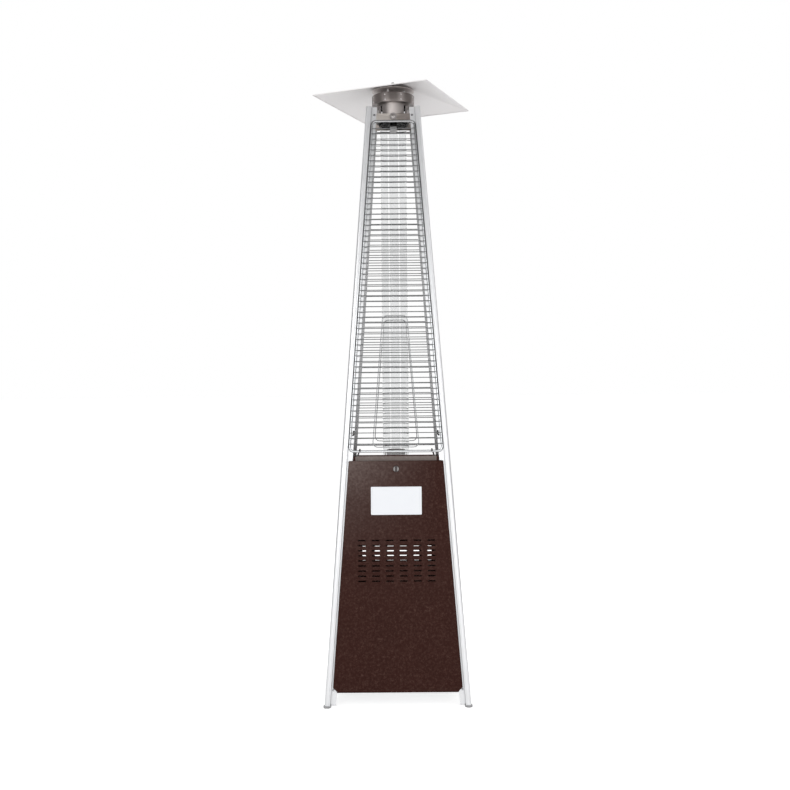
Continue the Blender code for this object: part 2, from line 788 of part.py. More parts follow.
# Burner
def add_pan():
    low, top = DECK_TOP + FIT_GAP, DECK_TOP + FIT_GAP + SHEET
    inner = PAN_WELL - THIN_SHEET
    stub = PAN_STUB_HOLE
    profile = [(stub, PAN_LOW), (PAN_WELL, PAN_LOW), (PAN_WELL, low), (PAN_FLANGE, low), (PAN_FLANGE, top)]
    profile += [(inner, top), (inner, PAN_LOW + THIN_SHEET), (stub, PAN_LOW + THIN_SHEET)]
    pan = add_object("burner_pan", spun_mesh("burner_pan", profile, FINE), "black")
    span = (PAN_LOW - CUT_PAST, PAN_LOW + CUT_PAST)
    for name, x in (("pan_spark_hole", ROD_RADIUS_AT), ("pan_probe_hole", -ROD_RADIUS_AT)):
        boolean(pan, add_cutter(name, prism_mesh(name, circle(ROD_HOLE, SMALL, x), *span)))
    return pan


def add_burner():
    shoulder = PAN_LOW + THIN_SHEET + FIT_GAP
    outer = [(BURNER_STUB, BURNER_LOW), (BURNER_STUB, shoulder), (BURNER_SHOULDER, shoulder)]
    outer += [(BURNER_SHOULDER, BURNER_PLATE), (BURNER_RADIUS, BURNER_PLATE)]
    rise = BURNER_TOP - BURNER_SIDE_TOP
    crown = [(BURNER_RADIUS * r, BURNER_SIDE_TOP + rise * z) for r, z in BURNER_CROWN_SHARES]
    thin = THIN_SHEET
    inner = BURNER_RADIUS - thin
    inside = [(inner * r, BURNER_SIDE_TOP - thin + rise * z) for r, z in BURNER_CROWN_SHARES]
    bore = BURNER_STUB - BURNER_STUB_WALL
    profile = outer + crown + [(0, BURNER_TOP), (0, BURNER_TOP - thin)] + list(reversed(inside))
    profile += [(inner, BURNER_PLATE + thin), (bore, BURNER_PLATE + thin), (bore, BURNER_LOW)]
    return add_object("burner_head", spun_mesh("burner_head", profile, ROUND), "stainless")


def add_rods():
    spark = rod_profile(ELECTRODE_RADIUS, ELECTRODE_LOW, ELECTRODE_NECK)[:3]
    spark += [(ELECTRODE_TIP, ELECTRODE_NECK), (ELECTRODE_TIP, ELECTRODE_TOP), (0, ELECTRODE_TOP)]
    mesh = spun_mesh("spark_electrode", spark, SMALL)
    add_object("spark_electrode", move_mesh(mesh, ROD_RADIUS_AT, 0, 0), "ceramic")
    collar = [(PROBE_RADIUS, PROBE_COLLAR_LOW), (PROBE_COLLAR, PROBE_COLLAR_LOW)]
    collar += [(PROBE_COLLAR, PROBE_COLLAR_TOP), (PROBE_RADIUS, PROBE_COLLAR_TOP)]
    probe = rod_profile(PROBE_RADIUS, PROBE_LOW, PROBE_TOP)
    profile = probe[:2] + collar + probe[2:]
    mesh = spun_mesh("flame_probe", profile, SMALL)
    add_object("flame_probe", move_mesh(mesh, -ROD_RADIUS_AT, 0, 0), "brass")


def add_jet():
    top = BURNER_LOW - FIT_GAP
    profile = [(0, JET_LOW), (JET_RADIUS, JET_LOW), (JET_RADIUS, JET_SHOULDER), (JET_TIP, JET_SHOULDER)]
    profile += [(JET_TIP, top), (0, top)]
    return add_object("gas_jet", spun_mesh("gas_jet", profile, HEXAGON), "brass")


# Valve, pipe, inlet, knob and igniter
def rear_inner(z):
    return half_at(z) - PANEL_DEPTH - SHEET


def valve_far():
    return half_at(VALVE_Z) - VALVE_SETBACK


def valve_near():
    return valve_far() - VALVE_LONG


def add_valve():
    far = valve_far()
    ring = box_ring(-VALVE_HALF_X, VALVE_HALF_X, valve_near(), far)
    mesh = prism_mesh("gas_valve", ring, VALVE_Z - VALVE_HALF_Z, VALVE_Z + VALVE_HALF_Z)
    valve = add_object("gas_valve", mesh, "brass")
    end = rear_inner(VALVE_Z + VALVE_NECK) - FIT_GAP
    neck = spun_mesh("valve_neck", rod_profile(VALVE_NECK, far - CUT_PAST, end), SMALL, "Y")
    boolean(valve, add_cutter("valve_neck", move_mesh(neck, 0, 0, VALVE_Z)), "UNION")
    bore_rod = rod_profile(STEM_BORE, far + STEM_LONG_IN - STEM_TRAVEL, end + CUT_PAST)
    bore = spun_mesh("valve_bore", bore_rod, SMALL, "Y")
    boolean(valve, add_cutter("valve_bore", move_mesh(bore, 0, 0, VALVE_Z)))
    return valve


def knob_start():
    return half_at(VALVE_Z) - PANEL_DEPTH + KNOB_GAP


def add_knob():
    start = knob_start()
    origin = Vector((0, start, VALVE_Z))
    base = KNOB_LONG - KNOB_GRIP_TALL
    floor = base - KNOB_EDGE
    bore = STEM_RADIUS + FIT_GAP
    profile = [(bore, 0), (KNOB_RADIUS, 0), (KNOB_RADIUS, floor), (KNOB_RADIUS - KNOB_EDGE, base)]
    profile += [(0, base), (0, floor), (bore, floor)]
    knob = add_object("control_knob", spun_mesh("control_knob", profile, ROUND, "Y"), "black")
    grip_ring = box_ring(-KNOB_GRIP_HALF, KNOB_GRIP_HALF, base - KNOB_EDGE / 2, KNOB_LONG)
    reach = KNOB_RADIUS - KNOB_GRIP_IN
    grip = prism_mesh("knob_grip", grip_ring, -reach, reach)
    boolean(knob, add_cutter("knob_grip", move_mesh(grip, 0, start, VALVE_Z)), "UNION")
    move_mesh(knob.data, 0, start, VALVE_Z)
    stem_rod = rod_profile(STEM_RADIUS, valve_far() + STEM_LONG_IN, start + floor - FIT_GAP)
    stem = spun_mesh("valve_stem", stem_rod, SMALL, "Y")
    add_object("valve_stem", move_mesh(stem, 0, 0, VALVE_Z), "stainless")
    return set_origin(knob, origin)


def add_igniter():
    seat = rear_inner(VALVE_Z + IGNITER_BODY) - FIT_GAP
    face = half_at(VALVE_Z) - PANEL_DEPTH + IGNITER_RIM
    back = seat - IGNITER_LONG
    floor = back + IGNITER_FLOOR
    profile = [(0, back), (IGNITER_BODY, back), (IGNITER_BODY, seat), (IGNITER_NECK, seat)]
    profile += [(IGNITER_NECK, face), (BUTTON_BORE, face), (BUTTON_BORE, floor), (0, floor)]
    body = spun_mesh("igniter_body", profile, ROUND, "Y")
    add_object("igniter_body", move_mesh(body, -IGNITER_X, 0, VALVE_Z), "black")
    tip = face + BUTTON_PROUD
    button = spun_mesh("igniter_button", rod_profile(BUTTON_RADIUS, tip - BUTTON_LONG, tip), SMALL, "Y")
    made = add_object("igniter_button", move_mesh(button, -IGNITER_X, 0, VALVE_Z), "galvanised")
    return set_origin(made, Vector((-IGNITER_X, tip, VALVE_Z)))


def add_rear_panel():
    panel = add_fixed_panel("rear_panel", 2, REAR_SLOT_TOP)
    reach = (valve_far(), half_at(0))
    holes = (("rear_knob_hole", KNOB_HOLE, 0), ("rear_igniter_hole", IGNITER_HOLE, -IGNITER_X))
    for name, radius, x in holes:
        hole = spun_mesh(name, rod_profile(radius, *reach), SMALL, "Y")
        boolean(panel, add_cutter(name, move_mesh(hole, x, 0, VALVE_Z)))
    return panel


def add_pipe():
    path = bpy.data.curves.new("gas_pipe_path", "CURVE")
    path.dimensions = "3D"
    path.bevel_depth = PIPE_RADIUS
    path.bevel_resolution = 2
    path.resolution_u = 6
    path.use_fill_caps = True
    line = path.splines.new("BEZIER")
    jet_flat = JET_RADIUS * math.cos(math.radians(30))
    start, stop = jet_flat + FIT_GAP, valve_near() - FIT_GAP
    bend, rise = (start + (stop - start) * share for share in PIPE_BEND_SHARES)
    spots = [(start, PIPE_Z), (bend, PIPE_Z), (rise, VALVE_Z), (stop, VALVE_Z)]
    line.bezier_points.add(len(spots) - 1)
    for point, (y, z) in zip(line.bezier_points, spots):
        reach = (rise - bend) / 2 if y in (bend, rise) else (stop - rise) / 3
        point.co = (0, y, z)
        point.handle_left = (0, y - reach, z)
        point.handle_right = (0, y + reach, z)
    holder = bpy.data.objects.new("gas_pipe_path", path)
    CUTTERS.objects.link(holder)
    depsgraph = bpy.context.evaluated_depsgraph_get()
    mesh = bpy.data.meshes.new_from_object(holder.evaluated_get(depsgraph), depsgraph=depsgraph)
    bpy.data.objects.remove(holder, do_unlink=True)
    build = bmesh.new()
    build.from_mesh(mesh)
    bmesh.ops.remove_doubles(build, verts=build.verts, dist=WELD_GAP)
    mesh = finish_mesh(build, "gas_pipe")
    return add_object("gas_pipe", mesh, "brass")


def add_inlet():
    top = VALVE_Z - VALVE_HALF_Z - FIT_GAP
    tall = top - INLET_LOW
    profile = [(INLET_BORE, INLET_LOW), (INLET_ROOT, INLET_LOW)]
    for k in range(3):
        profile.append((INLET_BARB, INLET_LOW + tall * (k + 1) / 6))
        profile.append((INLET_ROOT, INLET_LOW + tall * (k + 1) / 6))
    profile = profile[:-1] + [(INLET_RADIUS, INLET_LOW + tall / 2), (INLET_RADIUS, top), (INLET_BORE, top)]
    mesh = spun_mesh("gas_inlet", profile, SMALL)
    return add_object("gas_inlet", move_mesh(mesh, 0, valve_far() - INLET_BACK, 0), "brass")


# Glass tube, its seal and the ring at its top
def add_tube():
    glass = tube_profile(GLASS_RADIUS - GLASS_WALL, GLASS_RADIUS, GLASS_LOW, GLASS_TOP)
    add_object("glass_tube", spun_mesh("glass_tube", glass, FINE), "glass")
    low, top = DECK_TOP + SHEET + FIT_GAP * 2, GLASS_LOW - FIT_GAP
    seal = tube_profile(SEAL_IN, SEAL_OUT, low, top)
    add_object("tube_seal", spun_mesh("tube_seal", seal, FINE), "rubber")


def add_ring():
    low = GLASS_TOP + FIT_GAP
    top = low + SHEET
    hem = low - RING_LIP
    profile = [(RING_EYE, low), (RING_LIP_IN, low), (RING_LIP_IN, hem)]
    profile += [(RING_RADIUS, hem), (RING_RADIUS, top), (RING_EYE, top)]
    ring = add_object("tube_top_ring", spun_mesh("tube_top_ring", profile, FINE), "black")
    for k in range(RING_HOLES):
        angle = 2 * math.pi * (k + 0.5) / RING_HOLES
        x, y = RING_HOLE_AT * math.cos(angle), RING_HOLE_AT * math.sin(angle)
        name = "ring_hole_%d" % k
        hole = prism_mesh(name, circle(RING_HOLE, COARSE, x, y), low - CUT_PAST, top + CUT_PAST)
        boolean(ring, add_cutter(name, hole))
    for k in range(TAB_COUNT):
        blade = box_ring(-TAB_WIDE / 2, TAB_WIDE / 2, -TAB_AT, THIN_SHEET - TAB_AT)
        tab = prism_mesh("ring_tab_%d" % k, blade, TAB_LOW, low + SHEET / 2)
        tab.transform(Matrix.Rotation(2 * math.pi * k / TAB_COUNT, 4, "Z"))
        boolean(ring, add_cutter("ring_tab_%d" % k, tab), "UNION")
    return ring


# Wire guards
def guard_bands():
    """Every level wire as low edge, high edge and whether it runs rail to rail."""
    bands = [(GUARD_LOW, GUARD_LOW + RAIL, True), (GUARD_TOP - RAIL, GUARD_TOP, True)]
    bands += [(z - WIRE / 2, z + WIRE / 2, False) for z in (LOOP_LOW, LOOP_TOP)]
    for k in range(WIRE_COUNT):
        z = WIRE_FIRST + k * WIRE_STEP
        bands.append((z - WIRE / 2, z + WIRE / 2, True))
    return sorted(bands)


def add_guard(name, turns):
    bands = guard_bands()
    rail_in, leg_out, leg_in = GUARD_INSET + RAIL, LOOP_INSET, LOOP_INSET + WIRE
    columns = [(-1, GUARD_INSET), (-1, rail_in), (-1, leg_out), (-1, leg_in)]
    columns += [(1, leg_in), (1, leg_out), (1, rail_in), (1, GUARD_INSET)]
    levels, kinds = [], []
    for low, high, full in bands:
        levels += [low, high]
        kinds += ["wire" if full else "loop", "gap"]
    loop_rows = [k for k, kind in enumerate(kinds) if kind == "loop"]

    def solid(i, j):
        in_loop = loop_rows[0] <= j <= loop_rows[1]
        if kinds[j] == "wire" or i in (0, 6):
            return True
        if kinds[j] == "loop":
            return 1 < i < 5
        return in_loop and i in (2, 4)
    cut = [GUARD_CUT] + [0] * (len(levels) - 2) + [GUARD_CUT]
    rows = list(zip(levels, cut))
    far = BEAD - FLANGE_WALL - FIT_GAP
    mesh = lattice_mesh(name, columns, rows, solid, far - GUARD_THICK, far, face_spot(turns))
    return add_object(name, mesh, "chrome")


# Head
def add_bar(name, turns, short):
    spot = face_spot(turns)
    near = BEAD + FIT_GAP
    end = near + (SHEET + FIT_GAP if short else 0)
    columns = [(-1, end), (1, end)]
    levels = [(BAR_LOW, 0), (BAR_TOP, 0)]
    mesh = lattice_mesh(name, columns, levels, lambda i, j: True, near, near + SHEET, spot)
    bar = add_object(name, mesh, "stainless")
    hole = spun_mesh(name + "_hole", rod_profile(BAR_SCREW_HOLE, 0, half_at(0)), SMALL, "Y")
    move_mesh(hole, 0, 0, BAR_SCREW_Z)
    hole.transform(Matrix.Rotation(math.radians(90 * turns + 180), 4, "Z"))
    return boolean(bar, add_cutter(name + "_hole", hole))


def add_bar_screw(name, turns):
    seat = half_at(BAR_SCREW_Z - SCREW_HEAD) - BEAD + FIT_GAP
    end = CUP_RADIUS - THIN_SHEET - SCREW_TAIL_GAP
    face = seat + SCREW_HEAD_TALL
    profile = [(0, end), (SCREW_RADIUS, end), (SCREW_RADIUS, seat), (SCREW_HEAD, seat)]
    profile += [(SCREW_HEAD, seat + SCREW_HEAD_TALL / 2), (SCREW_FACE, face), (0, face)]
    mesh = spun_mesh(name, profile, SMALL, "Y")
    move_mesh(mesh, 0, 0, BAR_SCREW_Z)
    mesh.transform(Matrix.Rotation(math.radians(90 * turns + 180), 4, "Z"))
    return add_object(name, mesh, "galvanised")


def add_cup():
    wall = CUP_RADIUS - THIN_SHEET
    profile = [(CUP_FLOOR_IN, CUP_LOW), (CUP_RADIUS, CUP_LOW), (CUP_RADIUS, CUP_TOP), (wall, CUP_TOP)]
    profile += [(wall, CUP_LOW + THIN_SHEET), (CUP_FLOOR_IN, CUP_LOW + THIN_SHEET)]
    cup = add_object("head_cup", spun_mesh("head_cup", profile, FINE), "stainless")
    for k, angle in enumerate(CUP_SLOT_ANGLES):
        ring = box_ring(-CUP_SLOT_WIDE / 2, CUP_SLOT_WIDE / 2, -DRUM_RADIUS, DRUM_RADIUS)
        slot = prism_mesh("cup_slot_%d" % k, ring, CUP_SLOT_LOW, CUP_SLOT_TOP)
        slot.transform(Matrix.Rotation(math.radians(angle), 4, "Z"))
        boolean(cup, add_cutter("cup_slot_%d" % k, slot))
    for k in range(2):
        rod = rod_profile(BAR_SCREW_HOLE, -DRUM_RADIUS, DRUM_RADIUS)
        hole = spun_mesh("cup_screw_hole_%d" % k, rod, SMALL, "Y")
        move_mesh(hole, 0, 0, BAR_SCREW_Z)
        hole.transform(Matrix.Rotation(math.radians(90 * k), 4, "Z"))
        boolean(cup, add_cutter("cup_screw_hole_%d" % k, hole))
    return cup


def add_drum():
    inner = DRUM_RADIUS - THIN_SHEET
    profile = [(DRUM_MOUTH, DRUM_LOW), (DRUM_RADIUS, DRUM_LOW), (DRUM_RADIUS, DRUM_TOP), (0, DRUM_TOP)]
    profile += [(0, DRUM_TOP - THIN_SHEET), (inner, DRUM_TOP - THIN_SHEET)]
    profile += [(inner, DRUM_LOW + THIN_SHEET), (DRUM_MOUTH, DRUM_LOW + THIN_SHEET)]
    return add_object("head_drum", spun_mesh("head_drum", profile, FINE), "stainless")


def add_studs():
    low, high = DRUM_TOP + FIT_GAP, DISC_LOW - FIT_GAP
    for k in range(STUD_COUNT):
        angle = 2 * math.pi * k / STUD_COUNT + HEAD_TURN
        mesh = spun_mesh("head_stud_%d" % (k + 1), rod_profile(STUD_RADIUS, low, high), SMALL)
        move_mesh(mesh, STUD_AT * math.cos(angle), STUD_AT * math.sin(angle), 0)
        add_object("head_stud_%d" % (k + 1), mesh, "stainless")


def add_disc():
    profile = tube_profile(BOLT_HOLE, DISC_RADIUS, DISC_LOW, DISC_LOW + SHEET)
    return add_object("deflector_disc", spun_mesh("deflector_disc", profile, FINE), "stainless")


def shade_height(reach):
    return SHADE_RIM + SHADE_APEX_RISE * (1 - reach / SHADE_HALF)


def add_shade():
    build = bmesh.new()
    flat_top = shade_height(SHADE_FLAT_HALF)
    hem, thin = SHADE_RIM - SHADE_LIP, SHADE_HALF - SHEET
    sizes = [(SHADE_HALF, hem), (SHADE_HALF, SHADE_RIM), (SHADE_FLAT_HALF, flat_top)]
    sizes += [(thin, hem), (thin, SHADE_RIM - SHEET), (SHADE_FLAT_HALF, flat_top - SHEET)]
    rings = []
    for reach, z in sizes:
        rings.append([build.verts.new((x, y, z)) for x, y in box_ring(-reach, reach, -reach, reach)])
    build.faces.new(rings[2])
    build.faces.new(list(reversed(rings[5])))
    for low, high in ((0, 1), (1, 2), (3, 4), (4, 5), (0, 3)):
        for k in range(4):
            n = (k + 1) % 4
            build.faces.new((rings[low][k], rings[low][n], rings[high][n], rings[high][k]))
    mesh = finish_mesh(build, "reflector")
    mesh.transform(Matrix.Rotation(HEAD_TURN, 4, "Z"))
    shade = add_object("reflector", mesh, "stainless")
    hole = prism_mesh("reflector_hole", circle(BOLT_HOLE, SMALL), SHADE_RIM, flat_top + CUT_PAST)
    return boolean(shade, add_cutter("reflector_hole", hole))


def add_fixings():
    seat = DISC_LOW - FIT_GAP
    flat_top = shade_height(SHADE_FLAT_HALF)
    base = flat_top + FIT_GAP
    top = base + NUT_WASHER_TALL + NUT_TALL
    bolt_top = top - SHEET - FIT_GAP
    low = seat - BOLT_HEAD_TALL
    profile = rod_profile(BOLT_HEAD, low, seat)[:3]
    profile += [(BOLT_RADIUS, seat), (BOLT_RADIUS, bolt_top), (0, bolt_top)]
    add_object("reflector_bolt", spun_mesh("reflector_bolt", profile, SMALL), "galvanised")
    collar = base + NUT_WASHER_TALL
    profile = [(BOLT_HOLE, base), (NUT_WASHER, base), (NUT_WASHER, collar), (NUT_RADIUS, collar)]
    profile += [(NUT_RADIUS, top - SHEET), (NUT_CROWN, top), (0, top)]
    profile += [(0, bolt_top + FIT_GAP), (BOLT_HOLE, bolt_top + FIT_GAP)]
    add_object("reflector_nut", spun_mesh("reflector_nut", profile, SMALL), "galvanised")


def build_heater():
    corners = ("front_right", "rear_right", "rear_left", "front_left")
    for turns, word in enumerate(corners):
        add_post("post_" + word, turns)
        add_foot("foot_" + word, turns)
    add_door()
    add_bracket("door_bracket_left", -1)
    add_bracket("door_bracket_right", 1)
    add_latch()
    add_notice_plate()
    add_fixed_panel("right_panel", 1)
    add_fixed_panel("left_panel", 3)
    add_rear_panel()
    add_shelf()
    add_deck()
    add_pan()
    add_burner()
    add_rods()
    add_jet()
    add_valve()
    add_knob()
    add_igniter()
    add_pipe()
    add_inlet()
    add_tube()
    add_ring()
    for turns, word in enumerate(("front", "right", "rear", "left")):
        add_guard("guard_" + word, turns)
        add_bar("head_bar_" + word, turns, turns % 2 == 1)
        add_bar_screw("bar_screw_" + word, turns)
    add_cup()
    add_drum()
    add_studs()
    add_disc()
    add_shade()
    add_fixings()


build_heater()
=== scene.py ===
"""Pyramid patio heater: its finishes and fine shapes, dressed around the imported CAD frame."""
import math

import bmesh
import bpy
from mathutils import Matrix, Vector


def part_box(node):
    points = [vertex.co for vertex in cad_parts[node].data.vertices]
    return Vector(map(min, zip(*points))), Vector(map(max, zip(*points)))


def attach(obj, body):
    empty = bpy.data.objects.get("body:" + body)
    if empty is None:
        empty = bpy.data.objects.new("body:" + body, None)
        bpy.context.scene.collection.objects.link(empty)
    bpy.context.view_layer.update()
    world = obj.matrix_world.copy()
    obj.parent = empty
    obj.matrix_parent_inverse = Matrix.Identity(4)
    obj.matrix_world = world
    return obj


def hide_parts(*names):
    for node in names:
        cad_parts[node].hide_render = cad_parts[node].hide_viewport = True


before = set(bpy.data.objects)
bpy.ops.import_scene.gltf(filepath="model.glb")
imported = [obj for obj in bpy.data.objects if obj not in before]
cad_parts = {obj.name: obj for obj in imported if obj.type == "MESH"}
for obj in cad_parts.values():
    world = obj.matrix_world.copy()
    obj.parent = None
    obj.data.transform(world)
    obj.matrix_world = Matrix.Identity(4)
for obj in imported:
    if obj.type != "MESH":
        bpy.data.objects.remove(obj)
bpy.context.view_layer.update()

# Sizes that run through the whole heater, in metres
BASE_HALF = 0.2628
LEAN = 0.075
SHEET = 0.0015
THIN = 0.0012
BODY = "heater_frame"
SIDES = ("front", "right", "rear", "left")
CORNERS = ("front_right", "rear_right", "rear_left", "front_left")

# Corner post section, measured in from the sloping outer corner
BEAD = 0.020
BEAD_ROUND = 0.007
BEAD_EDGE = 0.0012
BEAD_WALL = 0.0018
FLANGE_REACH = 0.040
FLANGE_WALL = 0.002
GROOVE_AT = 0.0145
GROOVE_WIDE = 0.0016
GROOVE_DEEP = 0.0009
FOOT_WALL = 0.0035
FOOT_EDGE = 0.0015
FOOT_ROUND = 0.0120

# Base panels
PANEL_INSET = 0.026
PANEL_DEPTH = 0.006
FOLD_ROUND = 0.0022
FOLD_BACK = 0.0176
HEM_BACK = 0.0165
CORNER_CUT = 0.0130
SLOT_COLUMNS = 6
SLOT_ROWS = 9
SLOT_STEP_X = 0.050
SLOT_STEP_Z = 0.0181
SLOT_WIDE = 0.029
SLOT_TALL = 0.005
SLOT_TOP = 0.590
REAR_SLOT_TOP = 0.586
LOW_ROUND = 0.0045
LOW_HEM = 0.0165
DOOR_LOW_HEM = 0.0110
PUNCH_DEPTH = 0.012

# Wire guards
ROD_INSET = 0.0252
ROD_DEPTH = 0.0131
ROD_RADIUS = 0.0045
ROD_CAD_RADIUS = 0.0028
ROD_CORNER = 0.016
WIRE_RADIUS = 0.0016
WIRE_DEPTH = 0.0093
WIRE_FIRST = 0.9361
WIRE_STEP = 0.020
WIRE_COUNT = 59
LOOP_LOW_HALF = 0.0845
LOOP_TOP_HALF = 0.0443
LOOP_LOW = 0.9240
LOOP_TOP = 1.4030
LOOP_CORNER = 0.018
HOOK_SPREAD = 0.1305
HOOK_SPLAY = 0.0075
HOOK_RADIUS = 0.0029
CLIP_Z = 0.9660
CLIP_TALL = 0.0170
CLIP_INSET = 0.0378

# Head, latch and the door's fittings
HEAD_TURN = math.radians(-23.2)
SHADE_HALF = 0.2254
FLANGE_SCREW_INSET = 0.0323
FLANGE_SCREW_Z = 2.148
LATCH_Z = 0.846
TAB_COUNT = 2
TAB_DARK = 0.0165
CAM_FROM = 0.0130

# Deck and the upstands on its front and both sides
DECK_TOP = 0.8680
UPSTAND_HALF = 0.1390
UPSTAND_EAR = 0.1550
UPSTAND_SETBACK = 0.0010
UPSTAND_ROUND = 0.0045
EAR_PALE = 0.1475
EAR_DROP = 0.0050
EDGE_TRIM = 0.0040


def half_at(height):
    return BASE_HALF - LEAN * height


def low(node):
    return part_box(node)[0]


def high(node):
    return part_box(node)[1]


# Node trees
class Value:
    """A node's output that adds Math nodes when it is used in an expression."""

    def __init__(self, graph, socket):
        self.graph = graph
        self.socket = socket

    def math(self, operation, first, second):
        return self.graph.add("ShaderNodeMath", {"operation": operation}, {0: first, 1: second})

    def __add__(self, other):
        return self.math("ADD", self, other)

    def __radd__(self, other):
        return self.math("ADD", other, self)

    def __sub__(self, other):
        return self.math("SUBTRACT", self, other)

    def __rsub__(self, other):
        return self.math("SUBTRACT", other, self)

    def __mul__(self, other):
        return self.math("MULTIPLY", self, other)

    def __rmul__(self, other):
        return self.math("MULTIPLY", other, self)

    def __truediv__(self, other):
        return self.math("DIVIDE", self, other)

    def __pow__(self, other):
        return self.math("POWER", self, other)

    def size(self):
        return self.math("ABSOLUTE", self, 0.0)

    def over(self, edge):
        return self.math("GREATER_THAN", self, edge)


class Graph:
    """A node tree; add() makes a node, gives it its settings, then fills or links its sockets."""

    def __init__(self, tree):
        self.tree = tree

    def add(self, kind, settings=None, sockets=None, output=0):
        node = self.tree.nodes.new(kind)
        for name, value in (settings or {}).items():
            if name == "stops":
                self.set_stops(node.color_ramp, value)
            else:
                setattr(node, name, value)
        for name, value in (sockets or {}).items():
            for one in value if isinstance(value, list) else [value]:
                if isinstance(one, Value):
                    self.tree.links.new(one.socket, node.inputs[name])
                else:
                    node.inputs[name].default_value = one
        return Value(self, node.outputs[output]) if node.outputs else node

    def set_stops(self, ramp, stops):
        while len(ramp.elements) < len(stops):
            ramp.elements.new(1)
        for element, (place, shade) in zip(ramp.elements, stops):
            element.position = place
            element.color = (*shade, 1) if isinstance(shade, tuple) else (shade, shade, shade, 1)


# Finishes
class Finish(Graph):
    """A material whose pattern lies on the object's own coordinates."""

    def __init__(self, name):
        self.material = bpy.data.materials.new(name)
        self.material.use_nodes = True
        super().__init__(self.material.node_tree)
        self.tree.nodes.clear()
        self.place = self.add("ShaderNodeTexCoord", output="Object")

    def stretched(self, scale):
        return self.add("ShaderNodeMapping", {}, {"Vector": self.place, "Scale": scale})

    def noise(self, scale, detail=3.0, rough=0.55, place=None):
        sockets = {"Vector": place or self.place, "Scale": scale, "Detail": detail, "Roughness": rough}
        return self.add("ShaderNodeTexNoise", {}, sockets)

    def spots(self, scale, place=None):
        sockets = {"Vector": place or self.place, "Scale": scale}
        return self.add("ShaderNodeTexVoronoi", {"feature": "SMOOTH_F1"}, sockets)

    def ramp(self, value, stops):
        return self.add("ShaderNodeValToRGB", {"stops": stops}, {0: value})

    def blend(self, amount, first, second):
        settings = {"data_type": "RGBA"}
        sockets = {0: amount, 6: rgba(first), 7: rgba(second)}
        return self.add("ShaderNodeMix", settings, sockets, 2)

    def bump(self, height, strength, distance):
        sockets = {"Height": height, "Strength": strength, "Distance": distance}
        return self.add("ShaderNodeBump", {}, sockets)

    def coordinate(self, axis):
        return self.add("ShaderNodeSeparateXYZ", {}, {0: self.place}, axis)

    def done(self, **sockets):
        named = {key.replace("_", " ").title().replace("Ior", "IOR"): value for key, value in sockets.items()}
        named = {key.replace("Ior", "IOR"): value for key, value in named.items()}
        if "Base Color" in named and not isinstance(named["Base Color"], Value):
            named["Base Color"] = rgba(named["Base Color"])
        shader = self.add("ShaderNodeBsdfPrincipled", {}, named)
        self.add("ShaderNodeOutputMaterial", {}, {"Surface": shader})
        return self.material


def rgba(colour):
    return colour if isinstance(colour, Value) else (*colour, 1)


# Painted sheen on the door's coat, paler toward its upper left, where the key light's reflection falls
SHEEN_RIGHT = 0.150
SHEEN_WIDE = 0.320
SHEEN_LOW = 0.520
SHEEN_TALL = 0.350


def make_drawn_aluminium(name, dark, light, roughness):
    """Satin anodised section: fine die lines along its length and faint cloudiness."""
    f = Finish(name)
    lines = f.noise(1.0, 4.0, 0.6, f.stretched((900, 900, 5)))
    clouds = f.noise(14.0, 3.0)
    tone = f.blend(lines * 0.5 + clouds * 0.5, dark, light)
    rough = lines * 0.14 + clouds * 0.06 + (roughness - 0.1)
    normal = f.bump(lines, 0.12, 0.0003)
    return f.done(base_color=tone, metallic=0.85, roughness=rough, normal=normal)


def make_hammered_bronze(name, dark, light, fleck, painted_sheen=False):
    """Textured powder coat: dark brown, finely flecked over small orange-peel bumps."""
    f = Finish(name)
    grains = f.noise(240.0, 4.0, 0.65)
    peel = f.spots(260.0)
    clouds = f.noise(9.0, 3.0)
    mottle = f.noise(110.0, 3.0, 0.6)
    speckle = f.ramp(grains * 0.45 + mottle * 0.55, [(0.46, 0.0), (0.56, 0.3), (0.68, 1.0)])
    ground = f.blend(clouds, dark, light)
    tone = f.blend(speckle * 0.50, ground, fleck)
    if painted_sheen:
        # Painted sheen: the colour is mixed paler toward the upper left, standing in for the key light's reflection
        across = f.ramp((SHEEN_RIGHT - f.coordinate(0)) / SHEEN_WIDE, [(0.0, 0.0), (0.45, 0.35), (1.0, 1.0)])
        upward = f.ramp((f.coordinate(2) - SHEEN_LOW) / SHEEN_TALL, [(0.0, 0.0), (0.6, 0.35), (1.0, 1.0)])
        patches = f.noise(26.0, 4.0, 0.6) * 0.5 + 0.75
        amount = across * upward * patches * (mottle * 1.7 + 0.05)
        tone = f.blend(amount, tone, (0.128, 0.094, 0.085))
    rough = 0.50 - grains * 0.14
    height = peel * 0.55 + grains * 0.45
    normal = f.bump(height, 0.65, 0.0009)
    return f.done(base_color=tone, roughness=rough, normal=normal, specular_ior_level=0.06)


# Painted shade: the guards' frame rods grow darker toward the head
TOP_SHADE_LOW = 1.960
TOP_SHADE_TALL = 0.130


def make_bright_wire(name, dark, light, top_shade=None):
    """Plated steel wire with slight streaks and dull patches; top_shade is a darker colour blended in toward the head
    as painted shade.
    """
    f = Finish(name)
    patches = f.noise(60.0, 3.0)
    streaks = f.noise(1.0, 3.0, 0.5, f.stretched((30, 1500, 1500)))
    tone = f.blend(patches * 0.6 + streaks * 0.4, dark, light)
    if top_shade:
        # Painted shade: the colour darkens with height toward the head
        upward = f.ramp((f.coordinate(2) - TOP_SHADE_LOW) / TOP_SHADE_TALL, [(0.0, 0.0), (1.0, 1.0)])
        tone = f.blend(upward, tone, top_shade)
    rough = patches * 0.14 + 0.14
    return f.done(base_color=tone, metallic=1.0, roughness=rough, normal=f.bump(streaks, 0.06, 0.0002))


GLASS_IOR = 1.012
PAINTED_HIGHLIGHT_STOPS = (0.31, 0.0), (0.36, 1.0), (0.41, 1.0), (0.46, 0.0)


